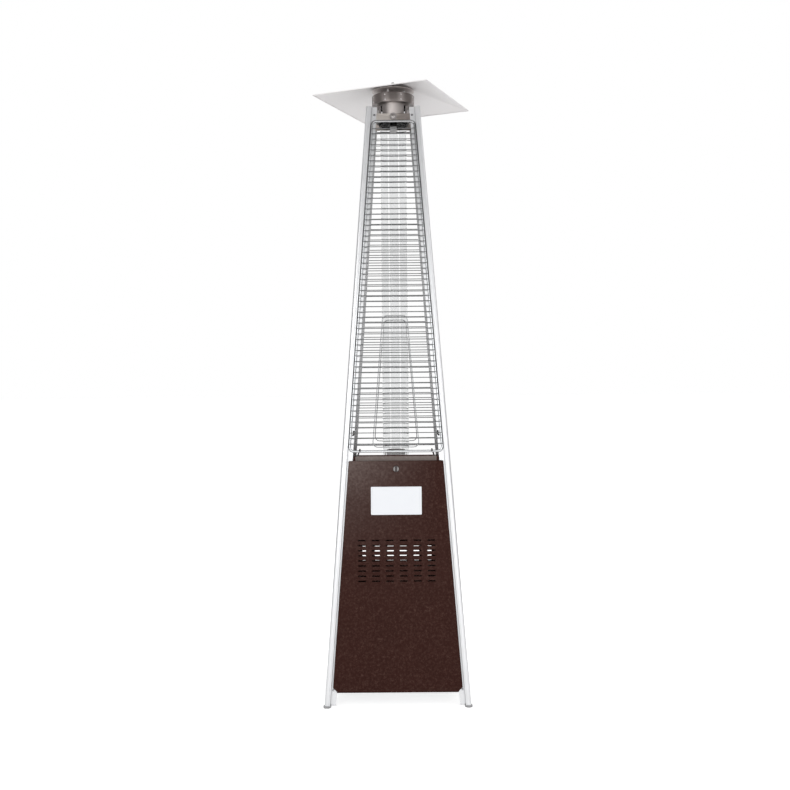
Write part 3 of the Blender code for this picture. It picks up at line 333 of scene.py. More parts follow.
def make_clear_glass(name):
    """Thick borosilicate tube wall: faint drawn ripples along its length, and two upright bands mixed toward white as
    painted highlights.
    """
    f = Finish(name)
    streaks = f.noise(1.0, 3.0, 0.5, f.stretched((45, 45, 1.5)))
    haze = f.noise(25.0, 3.0)
    tone = f.blend(haze * 0.5 + streaks * 0.5, (0.845, 0.848, 0.850), (0.920, 0.923, 0.925))
    across = f.coordinate(0).size() / high("glass_tube").x
    # Painted highlight: upright bands near the tube's sides are mixed toward white
    shine = f.ramp(across, PAINTED_HIGHLIGHT_STOPS)
    tone = f.blend(shine * (0.55 + streaks * 0.7), tone, (1.0, 1.0, 1.0))
    rough = haze * 0.02 + 0.005
    coat = {"coat_weight": 0.25, "coat_roughness": 0.08}
    return f.done(base_color=tone, roughness=rough, ior=GLASS_IOR, transmission_weight=1.0, **coat)


def make_pale_sheet(name):
    """Satin reflector sheet with a soft rolled grain."""
    f = Finish(name)
    grain = f.noise(1.0, 4.0, 0.6, f.stretched((7, 420, 420)))
    clouds = f.noise(5.0, 3.0)
    tone = f.blend(grain * 0.4 + clouds * 0.6, (0.78, 0.76, 0.76), (0.89, 0.87, 0.87))
    rough = grain * 0.10 + clouds * 0.08 + 0.42
    return f.done(base_color=tone, metallic=0.25, roughness=rough, normal=f.bump(grain, 0.05, 0.0003))


def make_brushed_steel(name, dark, light, around=True, roughness=0.30, shade_span=None):
    """Stainless steel brushed round the axis, or across a flat bar painted lighter toward -X and darker toward +X as
    painted light and shade.
    """
    f = Finish(name)
    scale = (3, 3, 1500) if around else (5, 5, 1300)
    lines = f.noise(1.0, 4.0, 0.65, f.stretched(scale))
    stain = f.noise(22.0, 4.0, 0.6)
    amount = lines * 0.55 + stain * 0.45
    if shade_span:
        # Painted light and shade: lighter toward -X, darker toward +X
        side_shade = f.ramp(f.coordinate(0) / shade_span * -0.5 + 0.5, [(0.0, 0.0), (0.5, 0.35), (1.0, 1.0)])
        amount = amount * 0.4 + side_shade * 0.6
    tone = f.blend(amount, dark, light)
    rough = lines * 0.18 + stain * 0.10 + (roughness - 0.12)
    return f.done(base_color=tone, metallic=1.0, roughness=rough, normal=f.bump(lines, 0.10, 0.0002))


def make_steel_painted_highlights(name, dark, light, bands, turned):
    """Spun steel brushed along its turning, with upright bands round its axis mixed lighter as painted highlights;
    turned shifts the bands by half a step.
    """
    f = Finish(name)
    lines = f.noise(1.0, 4.0, 0.65, f.stretched((3, 3, 1500)))
    stain = f.noise(30.0, 4.0, 0.6)
    # Painted highlight: lighter upright bands set by the angle round the axis
    round_axis = f.coordinate(0).math("ARCTAN2", f.coordinate(0), f.coordinate(1))
    wave = round_axis.math("COSINE", round_axis * bands, 0.0)
    painted_highlight = (wave * (turned * 2 - 1) * 0.5 + 0.5) ** 2.0
    tone = f.blend(painted_highlight * 0.62 + lines * 0.22 + stain * 0.16, dark, light)
    rough = lines * 0.18 + stain * 0.10 + 0.20
    return f.done(base_color=tone, metallic=1.0, roughness=rough, normal=f.bump(lines, 0.10, 0.0002))


def make_smooth_metal(name, dark, light, roughness, metallic=1.0):
    """Turned or plated metal with light wear."""
    f = Finish(name)
    wear = f.noise(140.0, 4.0, 0.6)
    scuffs = f.spots(420.0)
    tone = f.blend(wear, dark, light)
    rough = wear * 0.16 + (roughness - 0.08)
    normal = f.bump(scuffs * 0.5 + wear * 0.5, 0.08, 0.0002)
    return f.done(base_color=tone, metallic=metallic, roughness=rough, normal=normal)


def make_burner_steel(name):
    """Pale burner wall, sooted dark over its crown."""
    f = Finish(name)
    wear = f.noise(90.0, 4.0, 0.6)
    soot = f.ramp((f.coordinate(2) - high("burner_head").z + 0.02) / 0.02 + wear * 0.1, [(0.50, 0.0), (0.62, 1.0)])
    pale = f.blend(wear, (0.84, 0.83, 0.82), (0.94, 0.93, 0.92))
    tone = f.blend(soot, pale, (0.075, 0.062, 0.055))
    return f.done(base_color=tone, roughness=wear * 0.2 + 0.35, normal=f.bump(wear, 0.1, 0.0002))


def make_zinc_plate(name):
    """Galvanised sheet with soft spangles."""
    f = Finish(name)
    spangle = f.spots(70.0)
    grain = f.noise(300.0, 3.0)
    tone = f.blend(spangle, (0.34, 0.35, 0.36), (0.56, 0.57, 0.58))
    rough = spangle * 0.25 + 0.28
    return f.done(base_color=tone, metallic=1.0, roughness=rough, normal=f.bump(grain, 0.08, 0.0002))


def make_moulded(name, dark, light, roughness, gleam=0.5):
    """Moulded plastic, enamel, rubber or ceramic with a fine pebbled skin."""
    f = Finish(name)
    pebbles = f.noise(900.0, 2.0)
    dust = f.noise(40.0, 4.0)
    tone = f.blend(dust, dark, light)
    rough = dust * 0.12 + (roughness - 0.06)
    normal = f.bump(pebbles, 0.15, 0.0002)
    return f.done(base_color=tone, roughness=rough, normal=normal, specular_ior_level=gleam)


def make_plain_vinyl(name, centre, wide, tall):
    """Bare white sheet: faint fibres and a fine grey edge line."""
    f = Finish(name)
    fibres = f.noise(1.0, 4.0, 0.6, f.stretched((500, 500, 120)))
    clouds = f.noise(30.0, 3.0)
    across = (f.coordinate(0) - centre.x).size() / (wide / 2)
    up = (f.coordinate(2) - centre.z).size() / (tall / 2)
    near_edge = across.math("MAXIMUM", across, up)
    line = near_edge.over(0.925) * (1 - near_edge.over(0.94))
    ground = f.blend(clouds, (0.82, 0.84, 0.88), (0.86, 0.875, 0.90))
    tone = f.blend(line * 0.30, ground, (0.45, 0.46, 0.50))
    rough = clouds * 0.15 + 0.38
    return f.done(base_color=tone, roughness=rough, normal=f.bump(fibres, 0.08, 0.0002))


POST_FACE = make_drawn_aluminium("post_aluminium", (0.57, 0.58, 0.59), (0.69, 0.69, 0.70), 0.36)
# Painted shade: a darker copy of the post aluminium for the inner flange faces, which stand in shadow
POST_PAINTED_SHADE = make_drawn_aluminium("post_back_aluminium", (0.38, 0.38, 0.385), (0.52, 0.52, 0.525), 0.55)
BROWNS = (0.0280, 0.0083, 0.0058), (0.0360, 0.0112, 0.0082), (0.118, 0.064, 0.051)
BRONZE = make_hammered_bronze("hammered_bronze_coat", *BROWNS)
INNER_COAT = make_hammered_bronze("thin_inner_coat", (0.225, 0.155, 0.138), (0.285, 0.200, 0.178), (0.33, 0.24, 0.215))
# The door's coat carries the painted sheen toward its upper left
DOOR_BRONZE = make_hammered_bronze("bloomed_door_coat", *BROWNS, painted_sheen=True)
# Painted sheen: a much paler copy of the bronze coat for the deck lips, standing in for light glancing off the deck
SHEEN_BRONZE = make_hammered_bronze("worn_lip_coat", (0.160, 0.127, 0.115), (0.225, 0.195, 0.180), (0.31, 0.28, 0.26))
# Painted reflection: one plated steel in three tones, dark for the level wires for the dark surroundings they reflect,
# lighter for the loops and frame rods
WIRE = make_bright_wire("plated_wire", (0.130, 0.132, 0.135), (0.210, 0.213, 0.216))
ROD_WIRE = make_bright_wire("plated_rod", (0.46, 0.47, 0.48), (0.60, 0.61, 0.62), (0.34, 0.34, 0.345))
LOOP_WIRE = make_bright_wire("plated_loop", (0.30, 0.305, 0.31), (0.42, 0.425, 0.43))
HOOK = make_bright_wire("dark_hook_wire", (0.020, 0.017, 0.017), (0.045, 0.040, 0.040))
GLASS = make_clear_glass("clear_glass")
PALE = make_pale_sheet("pale_reflector_sheet")
DRUM_STEEL = make_steel_painted_highlights("brushed_drum_steel", (0.130, 0.113, 0.106), (0.40, 0.365, 0.350), 8, 0.0)
CUP_STEEL = make_steel_painted_highlights("brushed_cup_steel", (0.16, 0.145, 0.138), (0.60, 0.555, 0.535), 4, 1.0)
BAR_STEEL = make_brushed_steel("brushed_bar_steel", (0.19, 0.162, 0.150), (0.70, 0.655, 0.605), False, shade_span=0.02)
DISC_STEEL = make_smooth_metal("satin_disc_steel", (0.46, 0.40, 0.38), (0.66, 0.60, 0.58), 0.38, 0.35)
# Painted highlight: the standoffs are near white, standing in for their bright highlights
STUD_STEEL = make_smooth_metal("bright_stud_steel", (0.86, 0.85, 0.84), (0.96, 0.95, 0.94), 0.30, 0.10)
LOCK_CHEEK = make_smooth_metal("worn_lock_cheek", (0.20, 0.185, 0.180), (0.30, 0.285, 0.280), 0.50, 0.20)
GREY_STEEL = make_smooth_metal("grey_screw_steel", (0.22, 0.20, 0.195), (0.40, 0.38, 0.37), 0.30)
POLISHED = make_smooth_metal("polished_steel", (0.62, 0.61, 0.60), (0.80, 0.79, 0.78), 0.20)
DARK_SCREW = make_smooth_metal("dark_screw_steel", (0.16, 0.16, 0.17), (0.28, 0.28, 0.29), 0.35)
BRASS = make_smooth_metal("cast_brass", (0.47, 0.31, 0.10), (0.66, 0.47, 0.20), 0.32)
PIPE = make_smooth_metal("drawn_pipe", (0.50, 0.34, 0.14), (0.66, 0.47, 0.22), 0.26)
ZINC = make_zinc_plate("galvanised_sheet")
SOOTED = make_smooth_metal("sooted_inner_steel", (0.040, 0.034, 0.030), (0.085, 0.074, 0.068), 0.55, 0.4)
ENAMEL = make_moulded("black_enamel", (0.010, 0.010, 0.010), (0.026, 0.025, 0.024), 0.42)
SOOTED_ENAMEL = make_moulded("sooted_ring_enamel", (0.006, 0.006, 0.006), (0.014, 0.013, 0.013), 0.60, 0.12)
PLASTIC = make_moulded("black_plastic", (0.012, 0.012, 0.013), (0.024, 0.024, 0.026), 0.48)
RUBBER = make_moulded("dark_silicone", (0.030, 0.028, 0.027), (0.055, 0.052, 0.050), 0.62)
FOOT_PLASTIC = make_moulded("grey_foot_plastic", (0.26, 0.26, 0.265), (0.36, 0.36, 0.365), 0.55)
CERAMIC = make_moulded("white_ceramic", (0.76, 0.74, 0.69), (0.86, 0.84, 0.80), 0.34)
BURNER_STEEL = make_burner_steel("heat_marked_burner")
LOCK = make_smooth_metal("dull_lock_metal", (0.030, 0.026, 0.026), (0.075, 0.068, 0.068), 0.34)
TAB_STEEL = make_smooth_metal("grey_tab_steel", (0.44, 0.43, 0.43), (0.56, 0.55, 0.55), 0.45, 0.5)
RED_BUTTON = make_moulded("red_button_plastic", (0.36, 0.018, 0.014), (0.46, 0.030, 0.022), 0.34)
PLATE_MIDDLE = (low("notice_plate") + high("notice_plate")) / 2
PLATE_SPAN = high("notice_plate") - low("notice_plate")
VINYL = make_plain_vinyl("bare_white_plate", PLATE_MIDDLE, PLATE_SPAN.x, PLATE_SPAN.z)
MARK = make_moulded("white_mark_paint", (0.70, 0.70, 0.70), (0.80, 0.80, 0.80), 0.50)


# Mesh helpers
def finish_mesh(build, name, recalculate=True):
    if recalculate:
        bmesh.ops.recalc_face_normals(build, faces=build.faces)
    mesh = bpy.data.meshes.new(name)
    build.to_mesh(mesh)
    build.free()
    return mesh


def smooth(mesh, angle=35):
    mesh.polygons.foreach_set("use_smooth", [True] * len(mesh.polygons))
    mesh.set_sharp_from_angle(angle=math.radians(angle))
    return mesh


def clad(mesh, *materials):
    mesh.materials.clear()
    for material in materials:
        mesh.materials.append(material)
    mesh.polygons.foreach_set("material_index", [0] * len(mesh.polygons))


def link(name, mesh, material=None):
    made = bpy.data.objects.new(name, mesh)
    bpy.context.scene.collection.objects.link(made)
    if material:
        mesh.materials.clear()
        mesh.materials.append(material)
    return made


def evaluate(made):
    """Bakes an object's modifiers into its mesh."""
    bpy.context.view_layer.update()
    graph = bpy.context.evaluated_depsgraph_get()
    mesh = bpy.data.meshes.new_from_object(made.evaluated_get(graph), depsgraph=graph)
    made.modifiers.clear()
    made.data = mesh
    return made


def settle(made, body=BODY, replaces=(), angle=35):
    """Last step of a piece: smooth it, let it ride, and hide the CAD parts it replaces."""
    smooth(made.data, angle)
    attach(made, body)
    if replaces:
        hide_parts(*replaces)
    return made


def arc(cx, cy, radius, start, stop, steps):
    points = []
    for k in range(steps + 1):
        angle = math.radians(start + (stop - start) * k / steps)
        points.append((cx + radius * math.cos(angle), cy + radius * math.sin(angle)))
    return points


def circle(radius, steps, cx=0.0, cy=0.0):
    return arc(cx, cy, radius, 0, 360 - 360 / steps, steps - 1)


def filleted(points, steps=4):
    """A closed outline whose corners (x, y, radius) are rounded with arcs."""
    outline = []
    for k, (x, y, radius) in enumerate(points):
        here = Vector((x, y))
        before = (Vector(points[k - 1][:2]) - here).normalized()
        after = (Vector(points[(k + 1) % len(points)][:2]) - here).normalized()
        if radius == 0:
            outline.append((x, y))
            continue
        spread = before.angle(after)
        back = radius / math.tan(spread / 2)
        middle = here + (before + after).normalized() * (radius / math.sin(spread / 2))
        start, stop = here + before * back - middle, here + after * back - middle
        turn = start.angle_signed(stop)
        for step in range(steps + 1):
            spoke = start.copy()
            spoke.rotate(Matrix.Rotation(-turn * step / steps, 2))
            outline.append(tuple(middle + spoke))
    return outline


def flat_face(rings, name, spot=None):
    """A flat filled sheet inside the first ring, open inside the others."""
    build = bmesh.new()
    edges = []
    for ring in rings:
        corners = [build.verts.new(spot(x, y) if spot else (x, y, 0)) for x, y in ring]
        edges += [build.edges.new((corners[k - 1], corners[k])) for k in range(len(corners))]
    bmesh.ops.triangle_fill(build, use_beauty=True, use_dissolve=False, edges=edges)
    return finish_mesh(build, name)


def turned_mesh(name, profile, steps=72, axis="Z"):
    """A closed outline of (radius, height) turned about the axis, poles shared."""
    build = bmesh.new()
    columns, poles = [], {}
    for s in range(steps):
        angle = 2 * math.pi * s / steps
        column = []
        for k, (radius, height) in enumerate(profile):
            if radius < 1e-7:
                if k not in poles:
                    poles[k] = build.verts.new((0, 0, height))
                column.append(poles[k])
            else:
                column.append(build.verts.new((radius * math.cos(angle), radius * math.sin(angle), height)))
        columns.append(column)
    count = len(profile)
    for s in range(steps):
        here, there = columns[s], columns[(s + 1) % steps]
        for k in range(count):
            n = (k + 1) % count
            kept = []
            for corner in (here[k], here[n], there[n], there[k]):
                if corner not in kept:
                    kept.append(corner)
            if len(kept) > 2:
                build.faces.new(kept)
    if axis == "Y":
        bmesh.ops.transform(build, matrix=Matrix.Rotation(math.radians(-90), 4, "X"), verts=build.verts)
    return finish_mesh(build, name)


def joined(name, meshes):
    build = bmesh.new()
    for mesh in meshes:
        build.from_mesh(mesh)
    mesh = bpy.data.meshes.new(name)
    build.to_mesh(mesh)
    build.free()
    return mesh


def moved(mesh, x=0.0, y=0.0, z=0.0):
    mesh.transform(Matrix.Translation((x, y, z)))
    return mesh


def turned_to_side(mesh, turns):
    mesh.transform(Matrix.Rotation(math.radians(90 * turns), 4, "Z"))
    return mesh


def lean_frame(z, depth, x=0.0):
    """Stands on the front slope: X across, Y up the slope, Z straight out of it."""
    spot = Vector((x, depth - half_at(z), z))
    return Matrix.Translation(spot) @ Matrix.Rotation(math.radians(90) - math.atan(LEAN), 4, "X")


# Geometry node trees
class Tree(Graph):
    """A geometry tree with named inputs; sizes go in by the socket's identifier."""

    def __init__(self, name, sizes):
        tree = bpy.data.node_groups.new(name, "GeometryNodeTree")
        super().__init__(tree)
        self.inputs = {}
        tree.interface.new_socket("Geometry", in_out="INPUT", socket_type="NodeSocketGeometry")
        for size, kind in sizes.items():
            socket = tree.interface.new_socket(size, in_out="INPUT", socket_type="NodeSocket" + kind)
            self.inputs[size] = socket.identifier
        tree.interface.new_socket("Geometry", in_out="OUTPUT", socket_type="NodeSocketGeometry")
        self.source = tree.nodes.new("NodeGroupInput")

    def size(self, name):
        return Value(self, self.source.outputs[name])

    def solid(self, flat, offset):
        """A closed solid drawn out of a flat face along a vector."""
        drawn = self.add("GeometryNodeExtrudeMesh", {}, {"Mesh": flat, "Offset": offset, "Individual": False})
        back = self.add("GeometryNodeFlipFaces", {}, {"Mesh": flat})
        both = self.add("GeometryNodeJoinGeometry", {}, {"Geometry": [drawn, back]})
        return self.add("GeometryNodeMergeByDistance", {}, {"Geometry": both, "Distance": 1e-6})

    def close(self, result):
        real = self.add("GeometryNodeRealizeInstances", {}, {"Geometry": result})
        dressed = self.add("GeometryNodeSetMaterial", {}, {"Geometry": real, "Material": self.size("Material")})
        self.add("NodeGroupOutput", {}, {"Geometry": dressed})
        return self

    def grow(self, made, **sizes):
        """Runs the tree on an object with these sizes and keeps the resulting mesh."""
        step = made.modifiers.new("grow", "NODES")
        step.node_group = self.tree
        for name, value in sizes.items():
            step[self.inputs[name.replace("_", " ").capitalize()]] = value
        return evaluate(made)


def make_section_tree():
    """Draws a flat section out into a leaning post."""
    tree = Tree("draw_out_section", {"Rise": "Vector", "Material": "Material"})
    return tree.close(tree.solid(tree.size("Geometry"), tree.size("Rise")))


def make_rod_tree():
    """Bends round rod along a path of straight edges, with rounded corners."""
    sizes = {"Rod radius": "Float", "Corner radius": "Float", "Rod sides": "Int", "Corner steps": "Int"}
    tree = Tree("bend_rod", {**sizes, "Material": "Material"})
    path = tree.add("GeometryNodeMeshToCurve", {}, {"Mesh": tree.size("Geometry")})
    sockets = {"Curve": path, "Count": tree.size("Corner steps"), "Radius": tree.size("Corner radius")}
    bent = tree.add("GeometryNodeFilletCurve", {"mode": "POLY"}, {**sockets, "Limit Radius": True})
    sockets = {"Resolution": tree.size("Rod sides"), "Radius": tree.size("Rod radius")}
    ring = tree.add("GeometryNodeCurvePrimitiveCircle", {}, sockets)
    return tree.close(tree.add("GeometryNodeCurveToMesh", {}, {"Curve": bent, "Profile Curve": ring, "Fill Caps": True}))


def make_level_wire_tree():
    """Lays level wires one above another, each as long as the leaning frame is wide there."""
    sizes = {"Count": "Int", "First height": "Float", "Step": "Float", "Ground half": "Float", "Lean": "Float"}
    sizes.update({"Inset": "Float", "Depth": "Float", "Wire radius": "Float", "Turn": "Float"})
    tree = Tree("lay_level_wires", {**sizes, "Material": "Material"})
    start = tree.add("ShaderNodeCombineXYZ", {}, {2: tree.size("First height")})
    step = tree.add("ShaderNodeCombineXYZ", {}, {2: tree.size("Step")})
    sockets = {"Count": tree.size("Count"), "Start Location": start, "Offset": step}
    line = tree.add("GeometryNodeMeshLine", {"mode": "OFFSET"}, sockets)
    place = tree.add("GeometryNodeInputPosition")
    height = tree.add("ShaderNodeSeparateXYZ", {}, {0: place}, 2)
    half = tree.size("Ground half") - tree.size("Lean") * height
    shift = tree.add("ShaderNodeCombineXYZ", {}, {1: tree.size("Depth") - half})
    spread = tree.add("GeometryNodeSetPosition", {}, {"Geometry": line, "Offset": shift})
    sockets = {"Vertices": 10, "Radius": tree.size("Wire radius"), "Depth": 1.0}
    rod = tree.add("GeometryNodeMeshCylinder", {}, sockets)
    quarter = (0.0, math.radians(90), 0.0)
    lying = tree.add("GeometryNodeTransform", {}, {"Geometry": rod, "Rotation": quarter})
    length = (half - tree.size("Inset")) * 2
    scale = tree.add("ShaderNodeCombineXYZ", {}, {0: length, 1: 1.0, 2: 1.0})
    wires = tree.add("GeometryNodeInstanceOnPoints", {}, {"Points": spread, "Instance": lying, "Scale": scale})
    turn = tree.add("ShaderNodeCombineXYZ", {}, {2: tree.size("Turn")})
    real = tree.add("GeometryNodeRealizeInstances", {}, {"Geometry": wires})
    return tree.close(tree.add("GeometryNodeTransform", {}, {"Geometry": real, "Rotation": turn}))


def aligned(tree, axis="Z"):
    facing = tree.add("GeometryNodeInputNamedAttribute", {"data_type": "FLOAT_VECTOR"}, {"Name": "facing"})
    return tree.add("FunctionNodeAlignRotationToVector", {"axis": axis}, {"Vector": facing})


def make_punch_tree():
    """Punches round-ended slots through a sheet at every place, square to where it faces."""
    sizes = {"Places": "Object", "Slot width": "Float", "Slot height": "Float", "Punch depth": "Float"}
    tree = Tree("punch_slots", {**sizes, "Material": "Material"})
    sockets = {"Width": tree.size("Slot width"), "Height": tree.size("Slot height")}
    frame_curve = tree.add("GeometryNodeCurvePrimitiveQuadrilateral", {}, sockets)
    sockets = {"Curve": frame_curve, "Count": 5, "Radius": tree.size("Slot height") * 0.498}
    outline = tree.add("GeometryNodeFilletCurve", {"mode": "POLY"}, sockets)
    flat = tree.add("GeometryNodeFillCurve", {"mode": "NGONS"}, {"Curve": outline})
    depth = tree.add("ShaderNodeCombineXYZ", {}, {2: tree.size("Punch depth")})
    punch = tree.solid(flat, depth)
    back = tree.add("ShaderNodeCombineXYZ", {}, {2: tree.size("Punch depth") * -0.5})
    centred = tree.add("GeometryNodeTransform", {}, {"Geometry": punch, "Translation": back})
    places = tree.add("GeometryNodeObjectInfo", {}, {"Object": tree.size("Places")}, "Geometry")
    sockets = {"Points": places, "Instance": centred, "Rotation": aligned(tree)}
    punches = tree.add("GeometryNodeInstanceOnPoints", {}, sockets)
    real = tree.add("GeometryNodeRealizeInstances", {}, {"Geometry": punches})
    sockets = {"Mesh 1": tree.size("Geometry"), "Mesh 2": real}
    return tree.close(tree.add("GeometryNodeMeshBoolean", {"operation": "DIFFERENCE", "solver": "EXACT"}, sockets))


def make_repeat_tree():
    """Sets a copy of a small part on every point, facing the way the point says."""
    tree = Tree("set_small_parts", {"Part": "Object", "Size": "Float", "Material": "Material"})
    part = tree.add("GeometryNodeObjectInfo", {}, {"Object": tree.size("Part")}, "Geometry")
    scale = tree.add("ShaderNodeCombineXYZ", {}, {k: tree.size("Size") for k in range(3)})
    sockets = {"Points": tree.size("Geometry"), "Instance": part, "Rotation": aligned(tree), "Scale": scale}
    return tree.close(tree.add("GeometryNodeInstanceOnPoints", {}, sockets))


SECTION = make_section_tree()
ROD = make_rod_tree()
LEVELS = make_level_wire_tree()
PUNCH = make_punch_tree()
REPEAT = make_repeat_tree()


def places(name, spots):
    """Loose points, each with the way it faces."""
    mesh = bpy.data.meshes.new(name)
    mesh.from_pydata([tuple(spot) for spot, _ in spots], [], [])
    facing = mesh.attributes.new("facing", "FLOAT_VECTOR", "POINT")
    for k, (_, way) in enumerate(spots):
        facing.data[k].vector = way
    return link(name, mesh)


def repeated(name, part, spots, material, size=1.0):
    """A small part set at every spot, as one mesh; the pattern part is removed after."""
    made = places(name, spots)
    REPEAT.grow(made, part=part, size=size, material=material)
    bpy.data.objects.remove(part, do_unlink=True)
    return made


def bent_rods(name, paths, radius, corner, material, sides=12, steps=6):
    """Round rod along each path; a path is (points, closed)."""
    points, edges = [], []
    for line, closed in paths:
        first = len(points)
        points += [tuple(p) for p in line]
        edges += [(first + k, first + k + 1) for k in range(len(line) - 1)]
        if closed:
            edges.append((first + len(line) - 1, first))
    mesh = bpy.data.meshes.new(name)
    mesh.from_pydata(points, edges, [])
    sizes = {"rod_radius": radius, "corner_radius": corner, "rod_sides": sides, "corner_steps": steps}
    return ROD.grow(link(name, mesh), material=material, **sizes)


# Corner posts and their foot caps
def post_rings():
    """The drawn section: rounded hollow bead with a groove on each face, and a flange each way."""
    edge, back = BEAD_EDGE, BEAD - FLANGE_WALL
    g0, g1, deep = GROOVE_AT, GROOVE_AT + GROOVE_WIDE, GROOVE_DEEP
    small = GROOVE_DEEP / 3
    right = [(g0, 0, small), (g0, deep, small), (g1, deep, small), (g1, 0, small), (BEAD, 0, edge)]
    right += [(BEAD, back, 0), (FLANGE_REACH, back, FLANGE_WALL * 0.45), (FLANGE_REACH, BEAD, FLANGE_WALL * 0.45)]
    left = [(v, u, r) for u, v, r in reversed(right)]
    corners = [(0, 0, BEAD_ROUND)] + right + [(BEAD, BEAD, edge)] + left
    wall = BEAD_WALL
    inner = BEAD_ROUND - wall
    hollow = [(wall, wall, inner), (BEAD - wall, wall, edge), (BEAD - wall, BEAD - wall, edge)]
    return [filleted(corners), filleted(hollow + [(wall, BEAD - wall, edge)])]


def corner_matrix(turns):
    return Matrix.Rotation(math.radians(90 * turns), 4, "Z")


def add_post(turns, word):
    node = "post_" + word
    base, top = low(node).z, high(node).z
    half = half_at(base)
    mesh = flat_face(post_rings(), node + "_section", lambda u, v: (half - u, v - half, base))
    face_up(mesh)
    made = link(node + "_section", mesh)
    rise = top - base
    SECTION.grow(made, rise=(-LEAN * rise, LEAN * rise, rise), material=POST_FACE)
    dress_inner_faces(made.data)
    made.data.transform(corner_matrix(turns))
    return settle(made, replaces=[node], angle=28)


def face_up(mesh):
    if mesh.polygons[0].normal.z < 0:
        mesh.flip_normals()
    return mesh


def dress_inner_faces(mesh):
    """The faces that look into the heater get the darker, rougher post material: painted shade inside the frame."""
    clad(mesh, POST_FACE, POST_PAINTED_SHADE)
    for face in mesh.polygons:
        way = face.normal
        inset = half_at(face.center.z) - abs(face.center.x), half_at(face.center.z) - abs(face.center.y)
        inward = way.x < -0.7 or way.y > 0.7
        if inward and max(inset) > BEAD - FLANGE_WALL / 2:
            face.material_index = 1


def add_foot(turns, word):
    node = "foot_" + word
    grow, tall = FOOT_WALL, high(node).z
    half = half_at(0)
    near, far, edge = -grow, BEAD + grow, FOOT_EDGE
    corners = [(near, near, FOOT_ROUND), (far, near, FOOT_ROUND), (far, far, edge), (near, far, FOOT_ROUND)]
    mesh = flat_face([filleted(corners, 6)], node + "_cap", lambda u, v: (half - u, v - half, 0))
    made = link(node + "_cap", face_up(mesh))
    SECTION.grow(made, rise=(0, 0, tall), material=FOOT_PLASTIC)
    bevel(made, FOOT_EDGE * 0.7, 2)
    made.data.transform(corner_matrix(turns))
    return settle(made, replaces=[node])


def bevel(made, width, segments=2, angle=40):
    step = made.modifiers.new("edge", "BEVEL")
    step.width = width
    step.segments = segments
    step.limit_method = "ANGLE"
    step.angle_limit = math.radians(angle)
    step.harden_normals = False
    return evaluate(made)


# Folded base panels
def folded_sheet(name, bottom, top, low_back, fold_from):
    """A leaning sheet: side edges folded back round a bend, a top hem and a rolled lower edge."""
    build = bmesh.new()

    def spot(side, inset, back, z):
        return (side * (half_at(z) - inset), PANEL_DEPTH + back - half_at(z), z)

    def corner_row(inset, back):
        return [build.verts.new(spot(side, inset, back, z)) for z in (fold_from, top)]

    flat_in = PANEL_INSET + FOLD_ROUND
    rows = {}
    for side in (-1, 1):
        rows[side] = corner_row(flat_in, 0)
        row = rows[side]
        bends = [math.radians(18 * k) for k in range(1, 6)]
        steps = [(flat_in - FOLD_ROUND * math.sin(t), FOLD_ROUND * (1 - math.cos(t))) for t in bends]
        for inset, back in steps + [(PANEL_INSET, FOLD_BACK - PANEL_DEPTH)]:
            fresh = corner_row(inset, back)
            build.faces.new([row[0], row[1], fresh[1], fresh[0]])
            row = fresh
    build.faces.new([rows[-1][0], rows[1][0], rows[1][1], rows[-1][1]])
    toes = [build.verts.new(spot(side, flat_in + fold_from - bottom, 0, bottom)) for side in (-1, 1)]
    build.faces.new([toes[0], toes[1], rows[1][0], rows[-1][0]])
    fold_level_edge(build, [rows[-1][1], rows[1][1]], top, 1, FOLD_ROUND, HEM_BACK)
    fold_level_edge(build, toes, bottom, -1, LOW_ROUND, low_back)
    mesh = finish_mesh(build, name)
    front = max(mesh.polygons, key=lambda face: face.area)
    if front.normal.y > 0:
        mesh.flip_normals()
    return mesh


def fold_level_edge(build, pair, level, way, bend, back_to):
    """Turns a level edge in round a bend, then straight back to a depth."""
    ends = [corner.co.x for corner in pair]
    path = []
    for k in range(1, 7):
        t = math.radians(15 * k)
        path.append((PANEL_DEPTH + bend * (1 - math.cos(t)), level + way * bend * math.sin(t)))
    path.append((back_to, level + way * bend))
    for depth, z in path:
        fresh = [build.verts.new((x, depth - half_at(level), z)) for x in ends]
        build.faces.new([pair[0], pair[1], fresh[1], fresh[0]])
        pair = fresh


def slot_places(top_row):
    """Where the vent slots sit on the front slope."""
    facing = (0, -1, LEAN)
    spots = []
    for row in range(SLOT_ROWS):
        z = top_row - row * SLOT_STEP_Z
        for column in range(SLOT_COLUMNS):
            x = (column - (SLOT_COLUMNS - 1) / 2) * SLOT_STEP_X
            spots.append((Vector((x, PANEL_DEPTH - half_at(z), z)), facing))
    return spots


def lean_spot(x, z):
    return Vector((x, PANEL_DEPTH - half_at(z), z)), (0, -1, LEAN)


def add_panel(node, name, turns, body, top_row=None, low_back=LOW_HEM, holes=(), coat=None):
    bottom, top = low(node).z, high(node).z
    mesh = folded_sheet(name, bottom, top - FOLD_ROUND, low_back, bottom + CORNER_CUT)
    coat = coat or BRONZE
    made = link(name, mesh, coat)
    wall = made.modifiers.new("wall", "SOLIDIFY")
    wall.thickness = SHEET
    wall.offset = -1
    evaluate(made)
    slots = [(slot_places(top_row), SLOT_WIDE, SLOT_TALL)] if top_row else []
    for spots, wide, tall in slots + list(holes):
        where = places(name + "_places", spots)
        sizes = {"slot_width": wide, "slot_height": tall, "punch_depth": PUNCH_DEPTH}
        PUNCH.grow(made, places=where, material=coat, **sizes)
        bpy.data.objects.remove(where, do_unlink=True)
    bevel(made, 0.0003, 1, 50)
    clad(made.data, coat, INNER_COAT)
    inward = [1 if face.normal.y > 0.5 else 0 for face in made.data.polygons]
    made.data.polygons.foreach_set("material_index", inward)
    turned_to_side(made.data, turns)
    return settle(made, body, [node])


